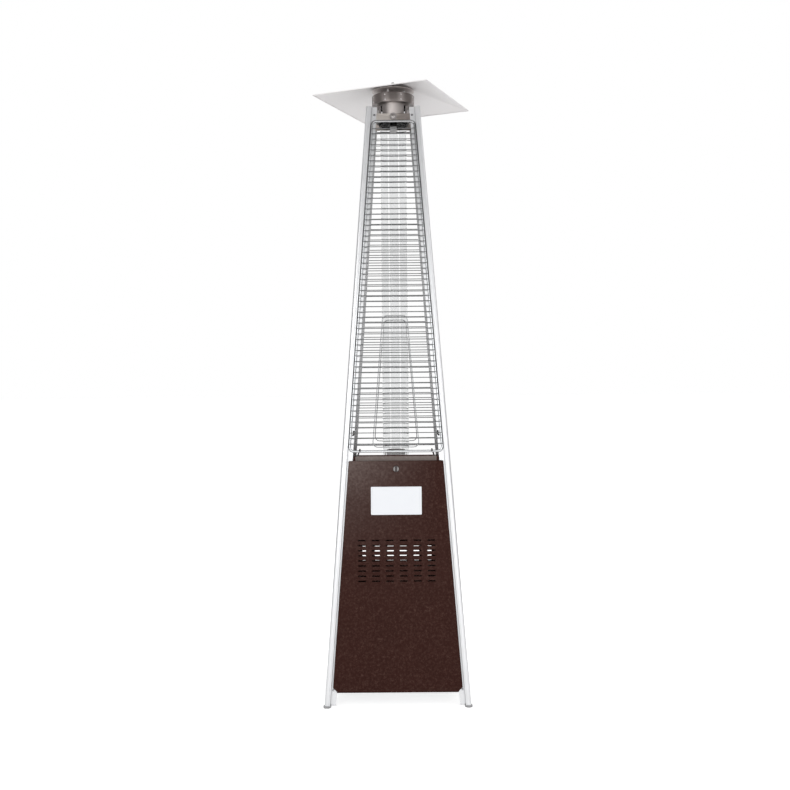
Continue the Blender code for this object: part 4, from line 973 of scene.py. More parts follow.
# Deck, shelf and the burner under the tube
def tray(name, half, top, skirt, bend, corner, hole):
    """A square tray with a bent-down skirt and an open round middle."""
    def outline(inset, steps=5):
        reach, rounding = half - inset, corner - inset * 0.5
        signs = ((-1, -1), (1, -1), (1, 1), (-1, 1))
        return filleted([(sx * reach, sy * reach, rounding) for sx, sy in signs], steps)

    rings = [(outline(bend), top)]
    for k in range(1, 6):
        t = math.radians(18 * k)
        rings.append((outline(bend * (1 - math.sin(t))), top - bend * (1 - math.cos(t))))
    rings.append((outline(0), top - skirt))
    inner = [circle(hole, 48)] if hole else []
    build = bmesh.new()
    build.from_mesh(face_up(flat_face([outline(bend)] + inner, name, lambda x, y: (x, y, top))))
    rows = [[build.verts.new((x, y, z)) for x, y in ring] for ring, z in rings]
    count = len(rows[0])
    for near, far in zip(rows, rows[1:]):
        for k in range(count):
            build.faces.new((near[k - 1], near[k], far[k], far[k - 1]))
    bmesh.ops.remove_doubles(build, verts=build.verts, dist=1e-6)
    mesh = finish_mesh(build, name)
    if max(mesh.polygons, key=lambda face: face.area).normal.z < 0:
        mesh.flip_normals()
    made = link(name, mesh, BRONZE)
    wall = made.modifiers.new("wall", "SOLIDIFY")
    wall.thickness = THIN
    wall.offset = -1
    return evaluate(made)


def add_deck():
    node = "deck_plate"
    half, top = high(node).x, DECK_TOP
    made = tray("deck_tray", half, top, top - low(node).z, 0.0025, 0.004, 0.0470)
    for turns, word in enumerate(SIDES):
        if word != "rear":
            add_upstand(turns, word, half - UPSTAND_SETBACK, high(node).z)
    return settle(made, replaces=[node])


def add_upstand(turns, word, face, top):
    """A low blade along one deck edge: a lip coloured pale as painted sheen, with rounded corners, dark lower ears and
    edge trim.
    """
    rise = top - DECK_TOP
    half, ear, low_edge = UPSTAND_HALF, UPSTAND_EAR, DECK_TOP + 0.0001

    def blade(name, corners, front, thick, material):
        mesh = flat_face([filleted(corners)], name, lambda x, z: (x, front, z))
        if mesh.polygons[0].normal.y > 0:
            mesh.flip_normals()
        made = link(name, mesh)
        mesh.flip_normals()
        SECTION.grow(made, rise=(0, thick, 0), material=material)
        bevel(made, 0.0003, 1, 40)
        return settle_side(made, turns)

    top_in = top - 0.0006
    lip = [(-half, low_edge, 0), (half, low_edge, 0), (half, top_in, UPSTAND_ROUND), (-half, top_in, UPSTAND_ROUND)]
    blade("upstand_lip_" + word, lip, -face, SHEET, SHEEN_BRONZE)
    trim_low = top - EDGE_TRIM
    inner, outer = half - UPSTAND_ROUND, half - UPSTAND_ROUND * 0.3
    trim = [(-outer, trim_low, 0.0008), (outer, trim_low, 0.0008), (inner, top, 0.0012), (-inner, top, 0.0012)]
    blade("upstand_trim_" + word, trim, -face - 0.0004, SHEET + 0.0008, BRONZE)
    ear_top = DECK_TOP + rise - EAR_DROP
    for side in (-1, 1):
        hand = "left" if side < 0 else "right"
        near, middle, far = (side * reach for reach in (half + 0.0003, EAR_PALE, ear))
        points = [(near, low_edge, 0), (middle, low_edge, 0), (middle, ear_top, 0), (near, ear_top, 0)]
        blade("upstand_step_%s_%s" % (word, hand), points, -face + 0.0002, SHEET, SHEEN_BRONZE)
        near = middle + side * 0.0002
        points = [(near, low_edge, 0), (far, low_edge, 0), (far, ear_top - 0.002, 0.001), (near, ear_top, 0)]
        blade("upstand_ear_%s_%s" % (word, hand), points, -face + 0.0002, SHEET, BRONZE)


def settle_side(made, turns):
    turned_to_side(made.data, turns)
    return settle(made)


def add_shelf():
    node = "cylinder_shelf"
    half, top = high(node).x, high(node).z
    made = tray("shelf_tray", half, top, top - low(node).z, 0.0025, 0.004, 0)
    made.data.materials.clear()
    made.data.materials.append(ZINC)
    return settle(made, replaces=[node])


def add_turned(node, name, profile, material, body=BODY, steps=72, place=(0, 0), angle=35, axis="Z"):
    made = link(name, turned_mesh(name, profile, steps, axis), material)
    moved(made.data, place[0], place[1])
    return settle(made, body, [node], angle=angle)


def soft_corner(radius, height, size, start, steps=3):
    """A rounded corner of a turned profile; start is the way out of its centre, in degrees."""
    return arc(radius, height, size, start, start + 90, steps)


def add_burner():
    pan_low, flange_top = low("burner_pan").z, high("burner_pan").z
    flange, well, wall, stub, bend = high("burner_pan").x, 0.0465, THIN, 0.0125, 0.002
    flange_low = flange_top - SHEET
    profile = [(stub, pan_low), *arc(well - bend, pan_low + bend, bend, -90, 0, 3)]
    profile += [(well, flange_low), (flange - bend / 3, flange_low), (flange, flange_low + bend / 4)]
    profile += [(flange, flange_top - bend / 4), (flange - bend / 3, flange_top), (well + bend, flange_top)]
    profile += [(well - wall, flange_top - bend / 2), (well - wall, pan_low + bend), (well - wall - bend, pan_low + wall)]
    profile += [(stub, pan_low + wall)]
    pan = add_turned("burner_pan", "pressed_pan", profile, ENAMEL)
    stations = [(Vector((0.058 * math.cos(a), 0.058 * math.sin(a), flange_top)), (0, 0, 1))
                for a in (math.radians(45 + 90 * k) for k in range(4))]
    screws = repeated("pan_screws", pan_head_pattern(), stations, DARK_SCREW, 0.0034)
    settle(screws)
    return pan


def add_burner_head():
    """Domed head with rows of flame ports round its side and crown."""
    node = "burner_head"
    radius, top, base = high(node).x, high(node).z, low(node).z
    crown, shoulder = top - 0.0045, base + 0.0365
    stub, skirt = 0.012, 0.018
    profile = [(stub - 0.0015, base), (stub, base), (stub, shoulder - 0.004), (skirt, shoulder)]
    profile += [(radius - 0.002, shoulder), (radius, shoulder + 0.002), (radius, crown)]
    profile += [(radius * 0.985, crown + 0.0016), (radius * 0.93, crown + 0.0028), (radius * 0.7, crown + 0.0038)]
    profile += [(radius * 0.35, crown + 0.0044), (0, top), (0, base + 0.045), (stub - 0.0015, base + 0.030)]
    made = add_turned(node, "burner_dome", profile, BURNER_STEEL)
    spots = []
    for row in range(9):
        z = shoulder + 0.008 + row * 0.0085
        for k in range(30):
            a = math.radians(12 * (k + (row % 2) / 2))
            way = Vector((math.cos(a), math.sin(a), 0))
            spots.append((way * (radius - 0.0002) + Vector((0, 0, z)), way))
    for count, share, drop, lean in ((22, 0.78, 0.0034, 6.0), (15, 0.55, 0.0040, 9.0), (8, 0.28, 0.0044, 12.0)):
        for k in range(count):
            a = math.radians(360 * k / count)
            way = Vector((math.cos(a), math.sin(a), lean)).normalized()
            spots.append((Vector((math.cos(a), math.sin(a), 0)) * radius * share + Vector((0, 0, crown + drop)), way))
    # Painted shade: the flame ports are black eyes standing in for the dark inside of open holes
    ports = repeated("burner_ports", port_pattern(), spots, ENAMEL, 0.0016)
    settle(ports)
    return made


def port_pattern():
    """A flame port: a black eye with a sunk middle, its darkness painted shade standing in for the open hole."""
    profile = [(0, 0.05), (0.72, 0.12), (1.0, 0.30), (1.12, 0.05), (1.12, -0.1), (0, -0.1)]
    return link("port", turned_mesh("port", profile, 8))


def pan_head_pattern():
    """A cross-recess pan head, one unit in radius."""
    profile = [(0, 0.62), (0.45, 0.58), (0.80, 0.42), (1.0, 0.12), (1.0, -0.05), (0, -0.05)]
    mesh = turned_mesh("pan_head", profile, 16)
    build = bmesh.new()
    build.from_mesh(mesh)
    made = link("pan_head", finish_mesh(build, "pan_head"))
    for k in range(2):
        size = (1.05, 0.2, 0.5) if k else (0.2, 1.05, 0.5)
        cut_box(made, size, (0, 0, 0.62))
    return made


def cut_box(made, size, middle, turn=None):
    """Cuts a box-shaped recess out of a piece."""
    build = bmesh.new()
    matrix = Matrix.Translation(middle) @ (turn or Matrix.Identity(4)) @ Matrix.Diagonal((*size, 1))
    bmesh.ops.create_cube(build, size=1, matrix=matrix)
    return cut_mesh(made, finish_mesh(build, "recess"))


def cut_mesh(made, mesh, operation="DIFFERENCE"):
    tool = link("cutter", mesh)
    step = made.modifiers.new("cut", "BOOLEAN")
    step.solver = "EXACT"
    step.operation = operation
    step.object = tool
    evaluate(made)
    bpy.data.objects.remove(tool, do_unlink=True)
    return made


def rivet_pattern():
    profile = [(0, 0.55), (0.4, 0.50), (0.75, 0.34), (1.0, 0.06), (1.0, -0.1), (0, -0.1)]
    return link("rivet", turned_mesh("rivet", profile, 14))


def add_rods():
    """Spark electrode in its ceramic sleeve, and the flame probe in its collar."""
    node = "spark_electrode"
    middle = (low(node) + high(node)) / 2
    sleeve, base, tip = 0.003, low(node).z, high(node).z
    neck = tip - 0.017
    profile = [(0, base), (sleeve * 0.6, base), (sleeve, base + 0.004), (sleeve, neck - 0.002)]
    profile += [(sleeve * 0.7, neck), (0.0009, neck), (0.0009, tip - 0.001), (0, tip)]
    add_turned(node, "electrode_rod", profile, CERAMIC, steps=24, place=(middle.x, middle.y))
    node = "flame_probe"
    middle = (low(node) + high(node)) / 2
    rod, collar, base, tip = 0.0025, 0.0032, low(node).z, high(node).z
    collar_low, collar_top = base + 0.0216, base + 0.046
    profile = [(0, base), (rod, base + 0.001), (rod, collar_low), (collar, collar_low + 0.0005)]
    profile += [(collar, collar_top - 0.0005), (rod, collar_top), (rod, tip - 0.002), (rod * 0.6, tip), (0, tip)]
    add_turned(node, "probe_rod", profile, POLISHED, steps=24, place=(middle.x, middle.y))


# Flame tube
def add_tube():
    node = "glass_tube"
    radius, wall, base, top = high(node).x, 0.003, low(node).z, high(node).z
    edge = wall / 2
    profile = arc(radius - edge, base + edge, edge, 180, 360, 6) + arc(radius - edge, top - edge, edge, 0, 180, 6)
    add_turned(node, "flame_tube", profile, GLASS, steps=128, angle=60)
    node = "tube_seal"
    inner, outer, base, top = 0.0467, high(node).x, low(node).z, high(node).z
    step = 0.0008
    profile = [(inner, base + step), (inner + step, base), (outer - step, base), (outer, base + step)]
    profile += [(outer, top - step), (outer - step, top), (inner + step, top), (inner, top - step)]
    add_turned(node, "silicone_seal", profile, RUBBER)


def add_top_ring():
    """Black cap ring on the tube: a pierced plate, a turned-down lip and hanging tabs."""
    node = "tube_top_ring"
    radius, top, base = high(node).x, high(node).z, low(node).z
    wall, bend, lip_low = THIN, 0.002, high("glass_tube").z - 0.0025
    glass_top = high("glass_tube").z + 0.0003
    holes = []
    for k in range(6):
        a = math.radians(60 * k)
        holes.append(circle(0.0075, 24, 0.036 * math.cos(a), 0.036 * math.sin(a)))
    rim = radius - bend
    build = bmesh.new()
    plate = face_up(flat_face([circle(rim, 96)] + holes, "ring_plate", lambda x, y: (x, y, top)))
    build.from_mesh(plate)
    rings = [(rim + bend * math.sin(math.radians(18 * k)), top - bend * (1 - math.cos(math.radians(18 * k))))
             for k in range(6)] + [(radius, lip_low)]
    rows = [[build.verts.new((x, y, z)) for x, y in circle(r, 96)] for r, z in rings]
    for near, far in zip(rows, rows[1:]):
        for k in range(96):
            build.faces.new((near[k - 1], near[k], far[k], far[k - 1]))
    bmesh.ops.remove_doubles(build, verts=build.verts, dist=1e-6)
    made = link("pierced_ring", finish_mesh(build, "pierced_ring"), SOOTED_ENAMEL)
    if max(made.data.polygons, key=lambda face: face.area).normal.z < 0:
        made.data.flip_normals()
    wall_step = made.modifiers.new("wall", "SOLIDIFY")
    wall_step.thickness = wall
    wall_step.offset = -1
    evaluate(made)
    tabs = []
    for k in range(TAB_COUNT):
        tabs.append(hanging_tab(glass_top, base, k))
    for mesh in tabs:
        mesh.materials.append(SOOTED_ENAMEL)
    made.data = joined("pierced_ring", [made.data] + tabs)
    made.data.materials.append(TAB_STEEL)
    dress_tabs(made.data, base, glass_top)
    return settle(made, replaces=[node])


def dress_tabs(mesh, base, top):
    if not mesh.materials or mesh.materials[0] != SOOTED_ENAMEL:
        mesh.materials.clear()
        mesh.materials.append(SOOTED_ENAMEL)
        mesh.materials.append(TAB_STEEL)
    for face in mesh.polygons:
        reach = math.hypot(face.center.x, face.center.y)
        face.material_index = 1 if face.center.z < top - TAB_DARK and reach < 0.047 else 0


def hanging_tab(top, base, k):
    """A flat spring tab that hangs inside the glass, bent over under the plate."""
    base += 0.0300 if k else 0.0080
    at, half, bend = 0.0445, 0.0125, 0.003
    line = [(at - 0.006, top - THIN)] + [(at - bend + bend * math.sin(math.radians(t)), top - THIN - bend * (1 - math.cos(math.radians(t)))) for t in range(0, 91, 18)]
    line += [(at, top - TAB_DARK), (at, base + 0.004), (at - 0.0012, base)]
    build = bmesh.new()
    rows = [[build.verts.new((s * (half if z > base + 0.002 else half - 0.0015), -r, z)) for s in (-1, 1)] for r, z in line]
    for near, far in zip(rows, rows[1:]):
        build.faces.new((near[0], near[1], far[1], far[0]))
    made = link("tab", finish_mesh(build, "tab"))
    wall = made.modifiers.new("wall", "SOLIDIFY")
    wall.thickness = THIN
    wall.offset = 0
    evaluate(made)
    mesh = made.data
    bpy.data.objects.remove(made, do_unlink=True)
    mesh.transform(Matrix.Rotation(2 * math.pi * k / TAB_COUNT, 4, "Z"))
    return mesh


# Wire guards
def add_guard(turns, word):
    node = "guard_" + word
    base, top = low(node).z + ROD_CAD_RADIUS, high(node).z - ROD_CAD_RADIUS
    rod = bent_rods(node + "_rods", [(frame_path(base, top), True)], ROD_RADIUS, ROD_CORNER, ROD_WIRE)
    loop = bent_rods(node + "_loop", [(loop_path(), True)], WIRE_RADIUS, LOOP_CORNER, LOOP_WIRE, 10)
    paths = [(clip_path(s), False) for s in (-1, 1)]
    if word != "rear":
        paths += [(hook_path(s, base), False) for s in (-1, 1)]
    hooks = bent_rods(node + "_hooks", paths, HOOK_RADIUS, 0.004, HOOK, 8, 4)
    for made in (rod, loop, hooks):
        turned_to_side(made.data, turns)
    wires = link(node + "_wires", bpy.data.meshes.new(node + "_wires"))
    sizes = {"count": WIRE_COUNT, "first_height": WIRE_FIRST, "step": WIRE_STEP, "ground_half": BASE_HALF, "lean": LEAN}
    sizes.update({"inset": ROD_INSET - ROD_RADIUS * 0.8, "depth": WIRE_DEPTH, "wire_radius": WIRE_RADIUS})
    LEVELS.grow(wires, turn=math.radians(90 * turns), material=WIRE, **sizes)
    settle(rod, replaces=[node], angle=50)
    for made in (loop, wires, hooks):
        settle(made, angle=50)


def frame_path(base, top):
    return [(s * (half_at(z) - ROD_INSET), ROD_DEPTH - half_at(z), z)
            for s, z in ((-1, base), (1, base), (1, top), (-1, top))]


def loop_path():
    depth = WIRE_DEPTH + WIRE_RADIUS * 1.8
    corners = ((-LOOP_LOW_HALF, LOOP_LOW), (LOOP_LOW_HALF, LOOP_LOW), (LOOP_TOP_HALF, LOOP_TOP), (-LOOP_TOP_HALF, LOOP_TOP))
    return [(x, depth - half_at(z), z) for x, z in corners]


def clip_path(side):
    """A short dark clip that holds the frame to the post flange, low down on each side."""
    steps = ((0, 0.004, CLIP_TALL), (0, 0, CLIP_TALL * 0.7), (0, 0, CLIP_TALL * 0.3), (0.004, 0.002, 0))
    return [(side * (half_at(CLIP_Z) - CLIP_INSET + out), BEAD - 0.006 + back - half_at(CLIP_Z + up), CLIP_Z + up)
            for out, back, up in steps]


def hook_path(side, base):
    near, wide = side * HOOK_SPREAD, side * (HOOK_SPREAD + HOOK_SPLAY)
    wire = ROD_DEPTH - half_at(base)
    over = base + ROD_RADIUS + HOOK_RADIUS
    behind = SHEET + UPSTAND_SETBACK + HOOK_RADIUS - high("deck_plate").x
    return [(near, wire - ROD_RADIUS - HOOK_RADIUS, base), (near, wire - ROD_RADIUS, over),
            (near, wire + ROD_RADIUS, over), (wide, behind, high("deck_plate").z), (wide, behind, DECK_TOP + 0.0002)]


# Head
def add_bar(turns, word):
    """Flat bar across the top of two posts, with its big centre screw."""
    node = "head_bar_" + word
    base, top = low(node).z, high(node).z
    made = carried(node, "bar_" + word, BAR_STEEL)
    bevel(made, 0.0004, 2, 30)
    settle(made, replaces=[node])
    node = "bar_screw_" + word
    return add_centre_screw(node, "centre_screw_" + word, turns)


def add_centre_screw(node, name, turns):
    """Cross-head screw over a wide washer, turned to its side of the head."""
    reach = max(-low(node).x, -low(node).y, high(node).x, high(node).y)
    tip = min(abs(v) for v in (low(node).x, low(node).y, high(node).x, high(node).y) if abs(v) > 0.02)
    proud, height = 0.0032, (low(node).z + high(node).z) / 2
    face = reach - proud
    washer, head, shank = 0.0128, 0.0080, 0.0029
    profile = [(0, tip - face), (shank * 0.7, tip - face), (shank, tip - face + 0.001), (shank, 0.0001)]
    groove = 0.0008
    profile += [(washer - 0.0003, 0.0001), (washer, 0.0004), (washer, 0.0009), (washer - 0.0004, 0.0012)]
    profile += [(head + groove * 2, 0.0012), (head + groove * 1.4, 0.0005), (head, 0.0005), (head, 0.0018)]
    profile += [(head * 0.86, 0.0027), (head * 0.5, 0.0031), (0, proud)]
    made = link(name, turned_mesh(name, profile, 48), GREY_STEEL)
    for size in ((0.0085, 0.0016, 0.0024), (0.0016, 0.0085, 0.0024)):
        cut_box(made, size, (0, 0, proud), Matrix.Rotation(math.radians(28), 4, "Z"))
    made.data.transform(Matrix.Translation((0, -face, height)) @ Matrix.Rotation(math.radians(90), 4, "X"))
    turned_to_side(made.data, turns)
    return settle(made, replaces=[node])


def carried(node, name, material):
    """A clean merged copy of a CAD node's solid to build on."""
    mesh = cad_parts[node].data.copy()
    build = bmesh.new()
    build.from_mesh(mesh)
    bmesh.ops.remove_doubles(build, verts=build.verts, dist=1e-6)
    flat = math.radians(1)
    bmesh.ops.dissolve_limit(build, angle_limit=flat, verts=build.verts, edges=build.edges)
    made = link(name, finish_mesh(build, name), material)
    return made


def add_cup():
    made = carried("head_cup", "slotted_cup", CUP_STEEL)
    bevel(made, 0.0003, 1, 40)
    clad(made.data, CUP_STEEL, SOOTED)
    inner = high("head_cup").x - SHEET / 2
    for face in made.data.polygons:
        if math.hypot(face.center.x, face.center.y) < inner:
            face.material_index = 1
    return settle(made, replaces=["head_cup"], angle=30)


def add_drum():
    """Spun drum: rolled top and bottom edges, one soft bead, and two rows of rivets."""
    node = "head_drum"
    radius, base, top, mouth = high(node).x, low(node).z, high(node).z, 0.052
    roll, wall = 0.0018, THIN
    inner = radius - wall
    profile = [(mouth, base), (radius - roll, base)] + arc(radius - roll, base + roll, roll, -72, 0, 4)
    profile += arc(radius - roll, top - roll, roll, 0, 90, 5) + [(radius - 0.005, top)]
    profile += [(radius - 0.0065, top - 0.0012), (0, top - 0.0012), (0, top - 0.0024), (inner - 0.002, top - 0.0024)]
    profile += [(inner, top - 0.004), (inner, base + wall + roll), (inner - roll, base + wall), (mouth, base + wall)]
    made = add_turned(node, "spun_drum", profile, DRUM_STEEL, steps=96)
    spots = []
    for z in (base + 0.0085, top - 0.0085):
        for k in range(8):
            a = math.radians(22.5 + 45 * k)
            way = Vector((math.cos(a), math.sin(a), 0))
            spots.append((way * radius + Vector((0, 0, z)), way))
    rivets = repeated("drum_rivets", rivet_pattern(), spots, POLISHED, 0.0026)
    settle(rivets)
    return made


def add_studs():
    for k in range(1, 5):
        node = "head_stud_%d" % k
        middle = (low(node) + high(node)) / 2
        radius, base, top, edge = 0.004, low(node).z, high(node).z, 0.0006
        profile = [(0, base), (radius - edge, base), (radius, base + edge), (radius, top - edge)]
        profile += [(radius - edge, top), (0, top)]
        add_turned(node, "standoff_%d" % k, profile, STUD_STEEL, steps=28, place=(middle.x, middle.y))


def add_disc():
    node = "deflector_disc"
    radius, base, top, hole = high(node).x, low(node).z, high(node).z, 0.0044
    edge = (top - base) / 2
    profile = [(hole, base)] + arc(radius - edge, base + edge, edge, -90, 90, 6) + [(hole, top)]
    return add_turned(node, "round_disc", profile, DISC_STEEL, steps=96)


def add_reflector():
    """Shallow pyramid sheet folded over its four ridges, with a turned-down rim and a flat top."""
    node = "reflector"
    rim, top = low(node).z, high(node).z
    half, lip, flat, wall = SHADE_HALF, 0.003, 0.013, THIN
    rings = [(half, rim), (half, rim + lip - 0.0008), (half - 0.0010, rim + lip), (flat, top)]
    build = bmesh.new()
    rows = [[build.verts.new((sx * r, sy * r, z)) for sx, sy in ((-1, -1), (1, -1), (1, 1), (-1, 1))]
            for r, z in rings]
    for near, far in zip(rows, rows[1:]):
        for k in range(4):
            build.faces.new((near[k - 1], near[k], far[k], far[k - 1]))
    hole = face_up(flat_face([[(sx * flat, sy * flat) for sx, sy in ((-1, -1), (1, -1), (1, 1), (-1, 1))],
                              circle(0.0044, 20)], "shade_top", lambda x, y: (x, y, top)))
    build.from_mesh(hole)
    bmesh.ops.remove_doubles(build, verts=build.verts, dist=1e-6)
    mesh = finish_mesh(build, "pyramid_reflector")
    if max(mesh.polygons, key=lambda face: face.area).normal.z < 0:
        mesh.flip_normals()
    made = link("pyramid_reflector", mesh, PALE)
    ridge = made.modifiers.new("ridge", "BEVEL")
    ridge.width, ridge.segments, ridge.limit_method, ridge.angle_limit = 0.0012, 2, "ANGLE", math.radians(12)
    step = made.modifiers.new("wall", "SOLIDIFY")
    step.thickness = wall
    step.offset = -1
    evaluate(made)
    made.data.transform(Matrix.Rotation(HEAD_TURN, 4, "Z"))
    return settle(made, replaces=[node], angle=8)


def add_fixings():
    node = "reflector_bolt"
    made = carried(node, "centre_bolt", POLISHED)
    bevel(made, 0.0005, 2, 30)
    settle(made, replaces=[node])
    node = "reflector_nut"
    made = carried(node, "cap_nut", POLISHED)
    bevel(made, 0.0004, 2, 25)
    settle(made, replaces=[node])


def add_flange_screws():
    """Small dark screws that hold the bars to the post flanges."""
    spots = []
    z = FLANGE_SCREW_Z
    for turns in range(4):
        turn = corner_matrix(turns)
        for side in (-1, 1):
            spot = Vector((side * (half_at(z) - FLANGE_SCREW_INSET), BEAD - FLANGE_WALL - half_at(z), z))
            spots.append((turn @ spot, turn @ Vector((0, -1, LEAN))))
    made = repeated("flange_screws", pan_head_pattern(), spots, DARK_SCREW, 0.0042)
    return settle(made)


# Door fittings
def add_notice_plate():
    """Bare plate with rounded corners, laid on the door."""
    node = "notice_plate"
    lo, hi = low(node), high(node)
    middle_z, wide = (lo.z + hi.z) / 2, (hi.x - lo.x) / 2
    tall = (hi.z - lo.z) / 2 * math.sqrt(1 + LEAN * LEAN)
    depth = PANEL_DEPTH - 0.0001
    outline = filleted([(-wide, -tall, 0.003), (wide, -tall, 0.003), (wide, tall, 0.003), (-wide, tall, 0.003)], 5)
    mesh = face_up(flat_face([outline], node))
    made = link("bare_plate", mesh)
    SECTION.grow(made, rise=(0, 0, 0.0004), material=VINYL)
    bevel(made, 0.00012, 1, 40)
    made.data.transform(lean_frame(middle_z, depth))
    return settle(made, "door", [node])


def add_latch():
    """Round lock: dark rimmed face, two bright cheeks beside a wide upright slot, a barrel and a cam."""
    node = "door_latch"
    z, depth = LATCH_Z, PANEL_DEPTH
    face, proud, barrel, long = 0.0115, 0.0035, 0.006, 0.0205
    rim, sunk = 0.0100, 0.0014
    floor_at = proud - sunk
    profile = [(0, floor_at), (rim - 0.0006, floor_at), (rim, floor_at + 0.0006)]
    profile += [(rim + 0.0005, floor_at + 0.0006), (face - 0.0002, floor_at), (face, 0.0006), (face, 0.0002)]
    profile += [(barrel, 0.0002), (barrel, 0.0142 - long), (barrel - 0.0006, 0.0136 - long), (0, 0.0136 - long)]
    head = link("lock_face", turned_mesh("lock_face", profile, 48), LOCK)
    head.data.transform(lean_frame(z, depth))
    settle(head, "latch", [node], angle=30)
    cheek = 0.0099
    profile = [(0, floor_at + 0.0001), (cheek, floor_at + 0.0001), (cheek, proud - 0.0006)]
    profile += [(cheek - 0.0008, proud - 0.0001), (cheek * 0.6, proud), (0, proud)]
    cheeks = link("lock_cheeks", turned_mesh("lock_cheeks", profile, 48), LOCK_CHEEK)
    cut_box(cheeks, (0.0088, 0.022, 0.008), (0, 0, proud))
    bevel(cheeks, 0.0003, 2, 40)
    cheeks.data.transform(lean_frame(z, depth))
    settle(cheeks, "latch", angle=30)
    cam = carried(node, "lock_cam", ZINC)
    keep_behind(cam, z, depth, CAM_FROM)
    bevel(cam, 0.0004, 2, 40)
    settle(cam, "latch")


def keep_behind(made, z, depth, back):
    """Keeps what lies further in than this behind the panel face."""
    build = bmesh.new()
    build.from_mesh(made.data)
    frame_at = lean_frame(z, depth)
    spot = frame_at @ Vector((0, 0, -back))
    way = frame_at.to_3x3() @ Vector((0, 0, 1))
    everything = list(build.verts) + list(build.edges) + list(build.faces)
    cut = bmesh.ops.bisect_plane(build, geom=everything, plane_co=spot, plane_no=way, clear_outer=True)
    rim = [edge for edge in cut["geom_cut"] if isinstance(edge, bmesh.types.BMEdge)]
    bmesh.ops.holes_fill(build, edges=rim)
    build.to_mesh(made.data)
    build.free()


# Gas controls at the back
def add_controls():
    made = carried("gas_valve", "valve_body", BRASS)
    bevel(made, 0.0008, 2, 40)
    settle(made, replaces=["gas_valve"])
    made = carried("gas_jet", "jet_body", BRASS)
    bevel(made, 0.0003, 2, 25)
    settle(made, replaces=["gas_jet"])
    made = carried("gas_inlet", "inlet_nipple", BRASS)
    bevel(made, 0.0002, 1, 40)
    settle(made, replaces=["gas_inlet"])
    made = carried("valve_stem", "stem_rod", POLISHED)
    bevel(made, 0.0003, 1, 40)
    settle(made, "stem", ["valve_stem"])
    made = carried("igniter_body", "igniter_barrel", PLASTIC)
    bevel(made, 0.0004, 2, 40)
    settle(made, replaces=["igniter_body"])
    made = carried("igniter_button", "igniter_cap", RED_BUTTON)
    bevel(made, 0.0006, 2, 40)
    settle(made, "igniter", ["igniter_button"])
    add_knob()


KNOB_RIBS = 24
RIB_SHARE = 0.05


def add_knob():
    """Ribbed skirt, a raised grip bar across the front, and a painted pointer line."""
    node = "control_knob"
    middle = (low(node) + high(node)) / 2
    radius, base, front = high(node).x, low(node).y, high(node).y
    bore, deep, plate = 0.0043, 0.0075, front - 0.0075
    profile = [(bore, base), (radius - 0.0015, base), (radius, base + 0.0008), (radius, base + 0.0035)]
    profile += [(radius - 0.0014, base + 0.0042), (radius - 0.0018, plate - 0.001), (radius - 0.0028, plate)]
    profile += [(0, plate), (0, base + deep), (bore, base + deep)]
    mesh = turned_mesh("ribbed_knob", profile, KNOB_RIBS * 6)
    for corner in mesh.vertices:
        reach = math.hypot(corner.co.x, corner.co.y)
        if base + 0.0040 < corner.co.z < plate + 0.0001 and reach > radius * 0.8:
            angle = math.atan2(corner.co.y, corner.co.x)
            corner.co.xy *= 1 - RIB_SHARE * max(0.0, math.cos(KNOB_RIBS * angle))
    mesh.transform(Matrix.Translation((0, 0, middle.z)) @ Matrix.Rotation(math.radians(-90), 4, "X"))
    made = link("ribbed_knob", mesh, PLASTIC)
    settle(made, "knob", [node], angle=30)
    half, across = radius - 0.0042, 0.0046
    corners = [(-half, -across, 0.003), (half, -across, 0.003), (half, across, 0.003), (-half, across, 0.003)]
    upright = Matrix.Translation((0, plate + 0.0001, middle.z)) @ Matrix.Rotation(math.radians(-90), 4, "X")
    quarter = Matrix.Rotation(math.radians(90), 4, "Z")
    grip = link("grip_bar", face_up(flat_face([filleted(corners)], "grip_bar")))
    SECTION.grow(grip, rise=(0, 0, front - plate - 0.0005), material=PLASTIC)
    bevel(grip, 0.0011, 3, 40)
    grip.data.transform(upright @ quarter)
    settle(grip, "knob", angle=30)
    corners = [(-half + 0.001, -0.0007, 0), (-half * 0.35, -0.0007, 0), (-half * 0.35, 0.0007, 0), (-half + 0.001, 0.0007, 0)]
    line = link("pointer_line", face_up(flat_face([filleted(corners)], "pointer_line")))
    SECTION.grow(line, rise=(0, 0, 0.0003), material=MARK)
    line.data.transform(upright @ Matrix.Translation((0, 0, front - plate - 0.0005)) @ quarter)
    settle(line, "knob")


def dress_brackets():
    for side in ("left", "right"):
        node = "door_bracket_" + side
        made = carried(node, "hinge_" + side, POST_FACE)
        bevel(made, 0.0002, 1, 40)
        settle(made, replaces=[node])


def dress_rest():
    """Nodes that keep their CAD solid get their finish here."""
    replaced = {"gas_pipe": PIPE}
    for node, material in replaced.items():
        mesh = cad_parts[node].data
        mesh.materials.clear()
        mesh.materials.append(material)


# Camera and light
CAMERA_AT = (0.0075, -3.802, 1.176)
CAMERA_YAW = -0.0025
CAMERA_PITCH = -0.0174
CAMERA_ROLL = -0.0085
FOCAL_PIXELS = 999.6
PHOTO_PIXELS = 790
SENSOR = 36.0


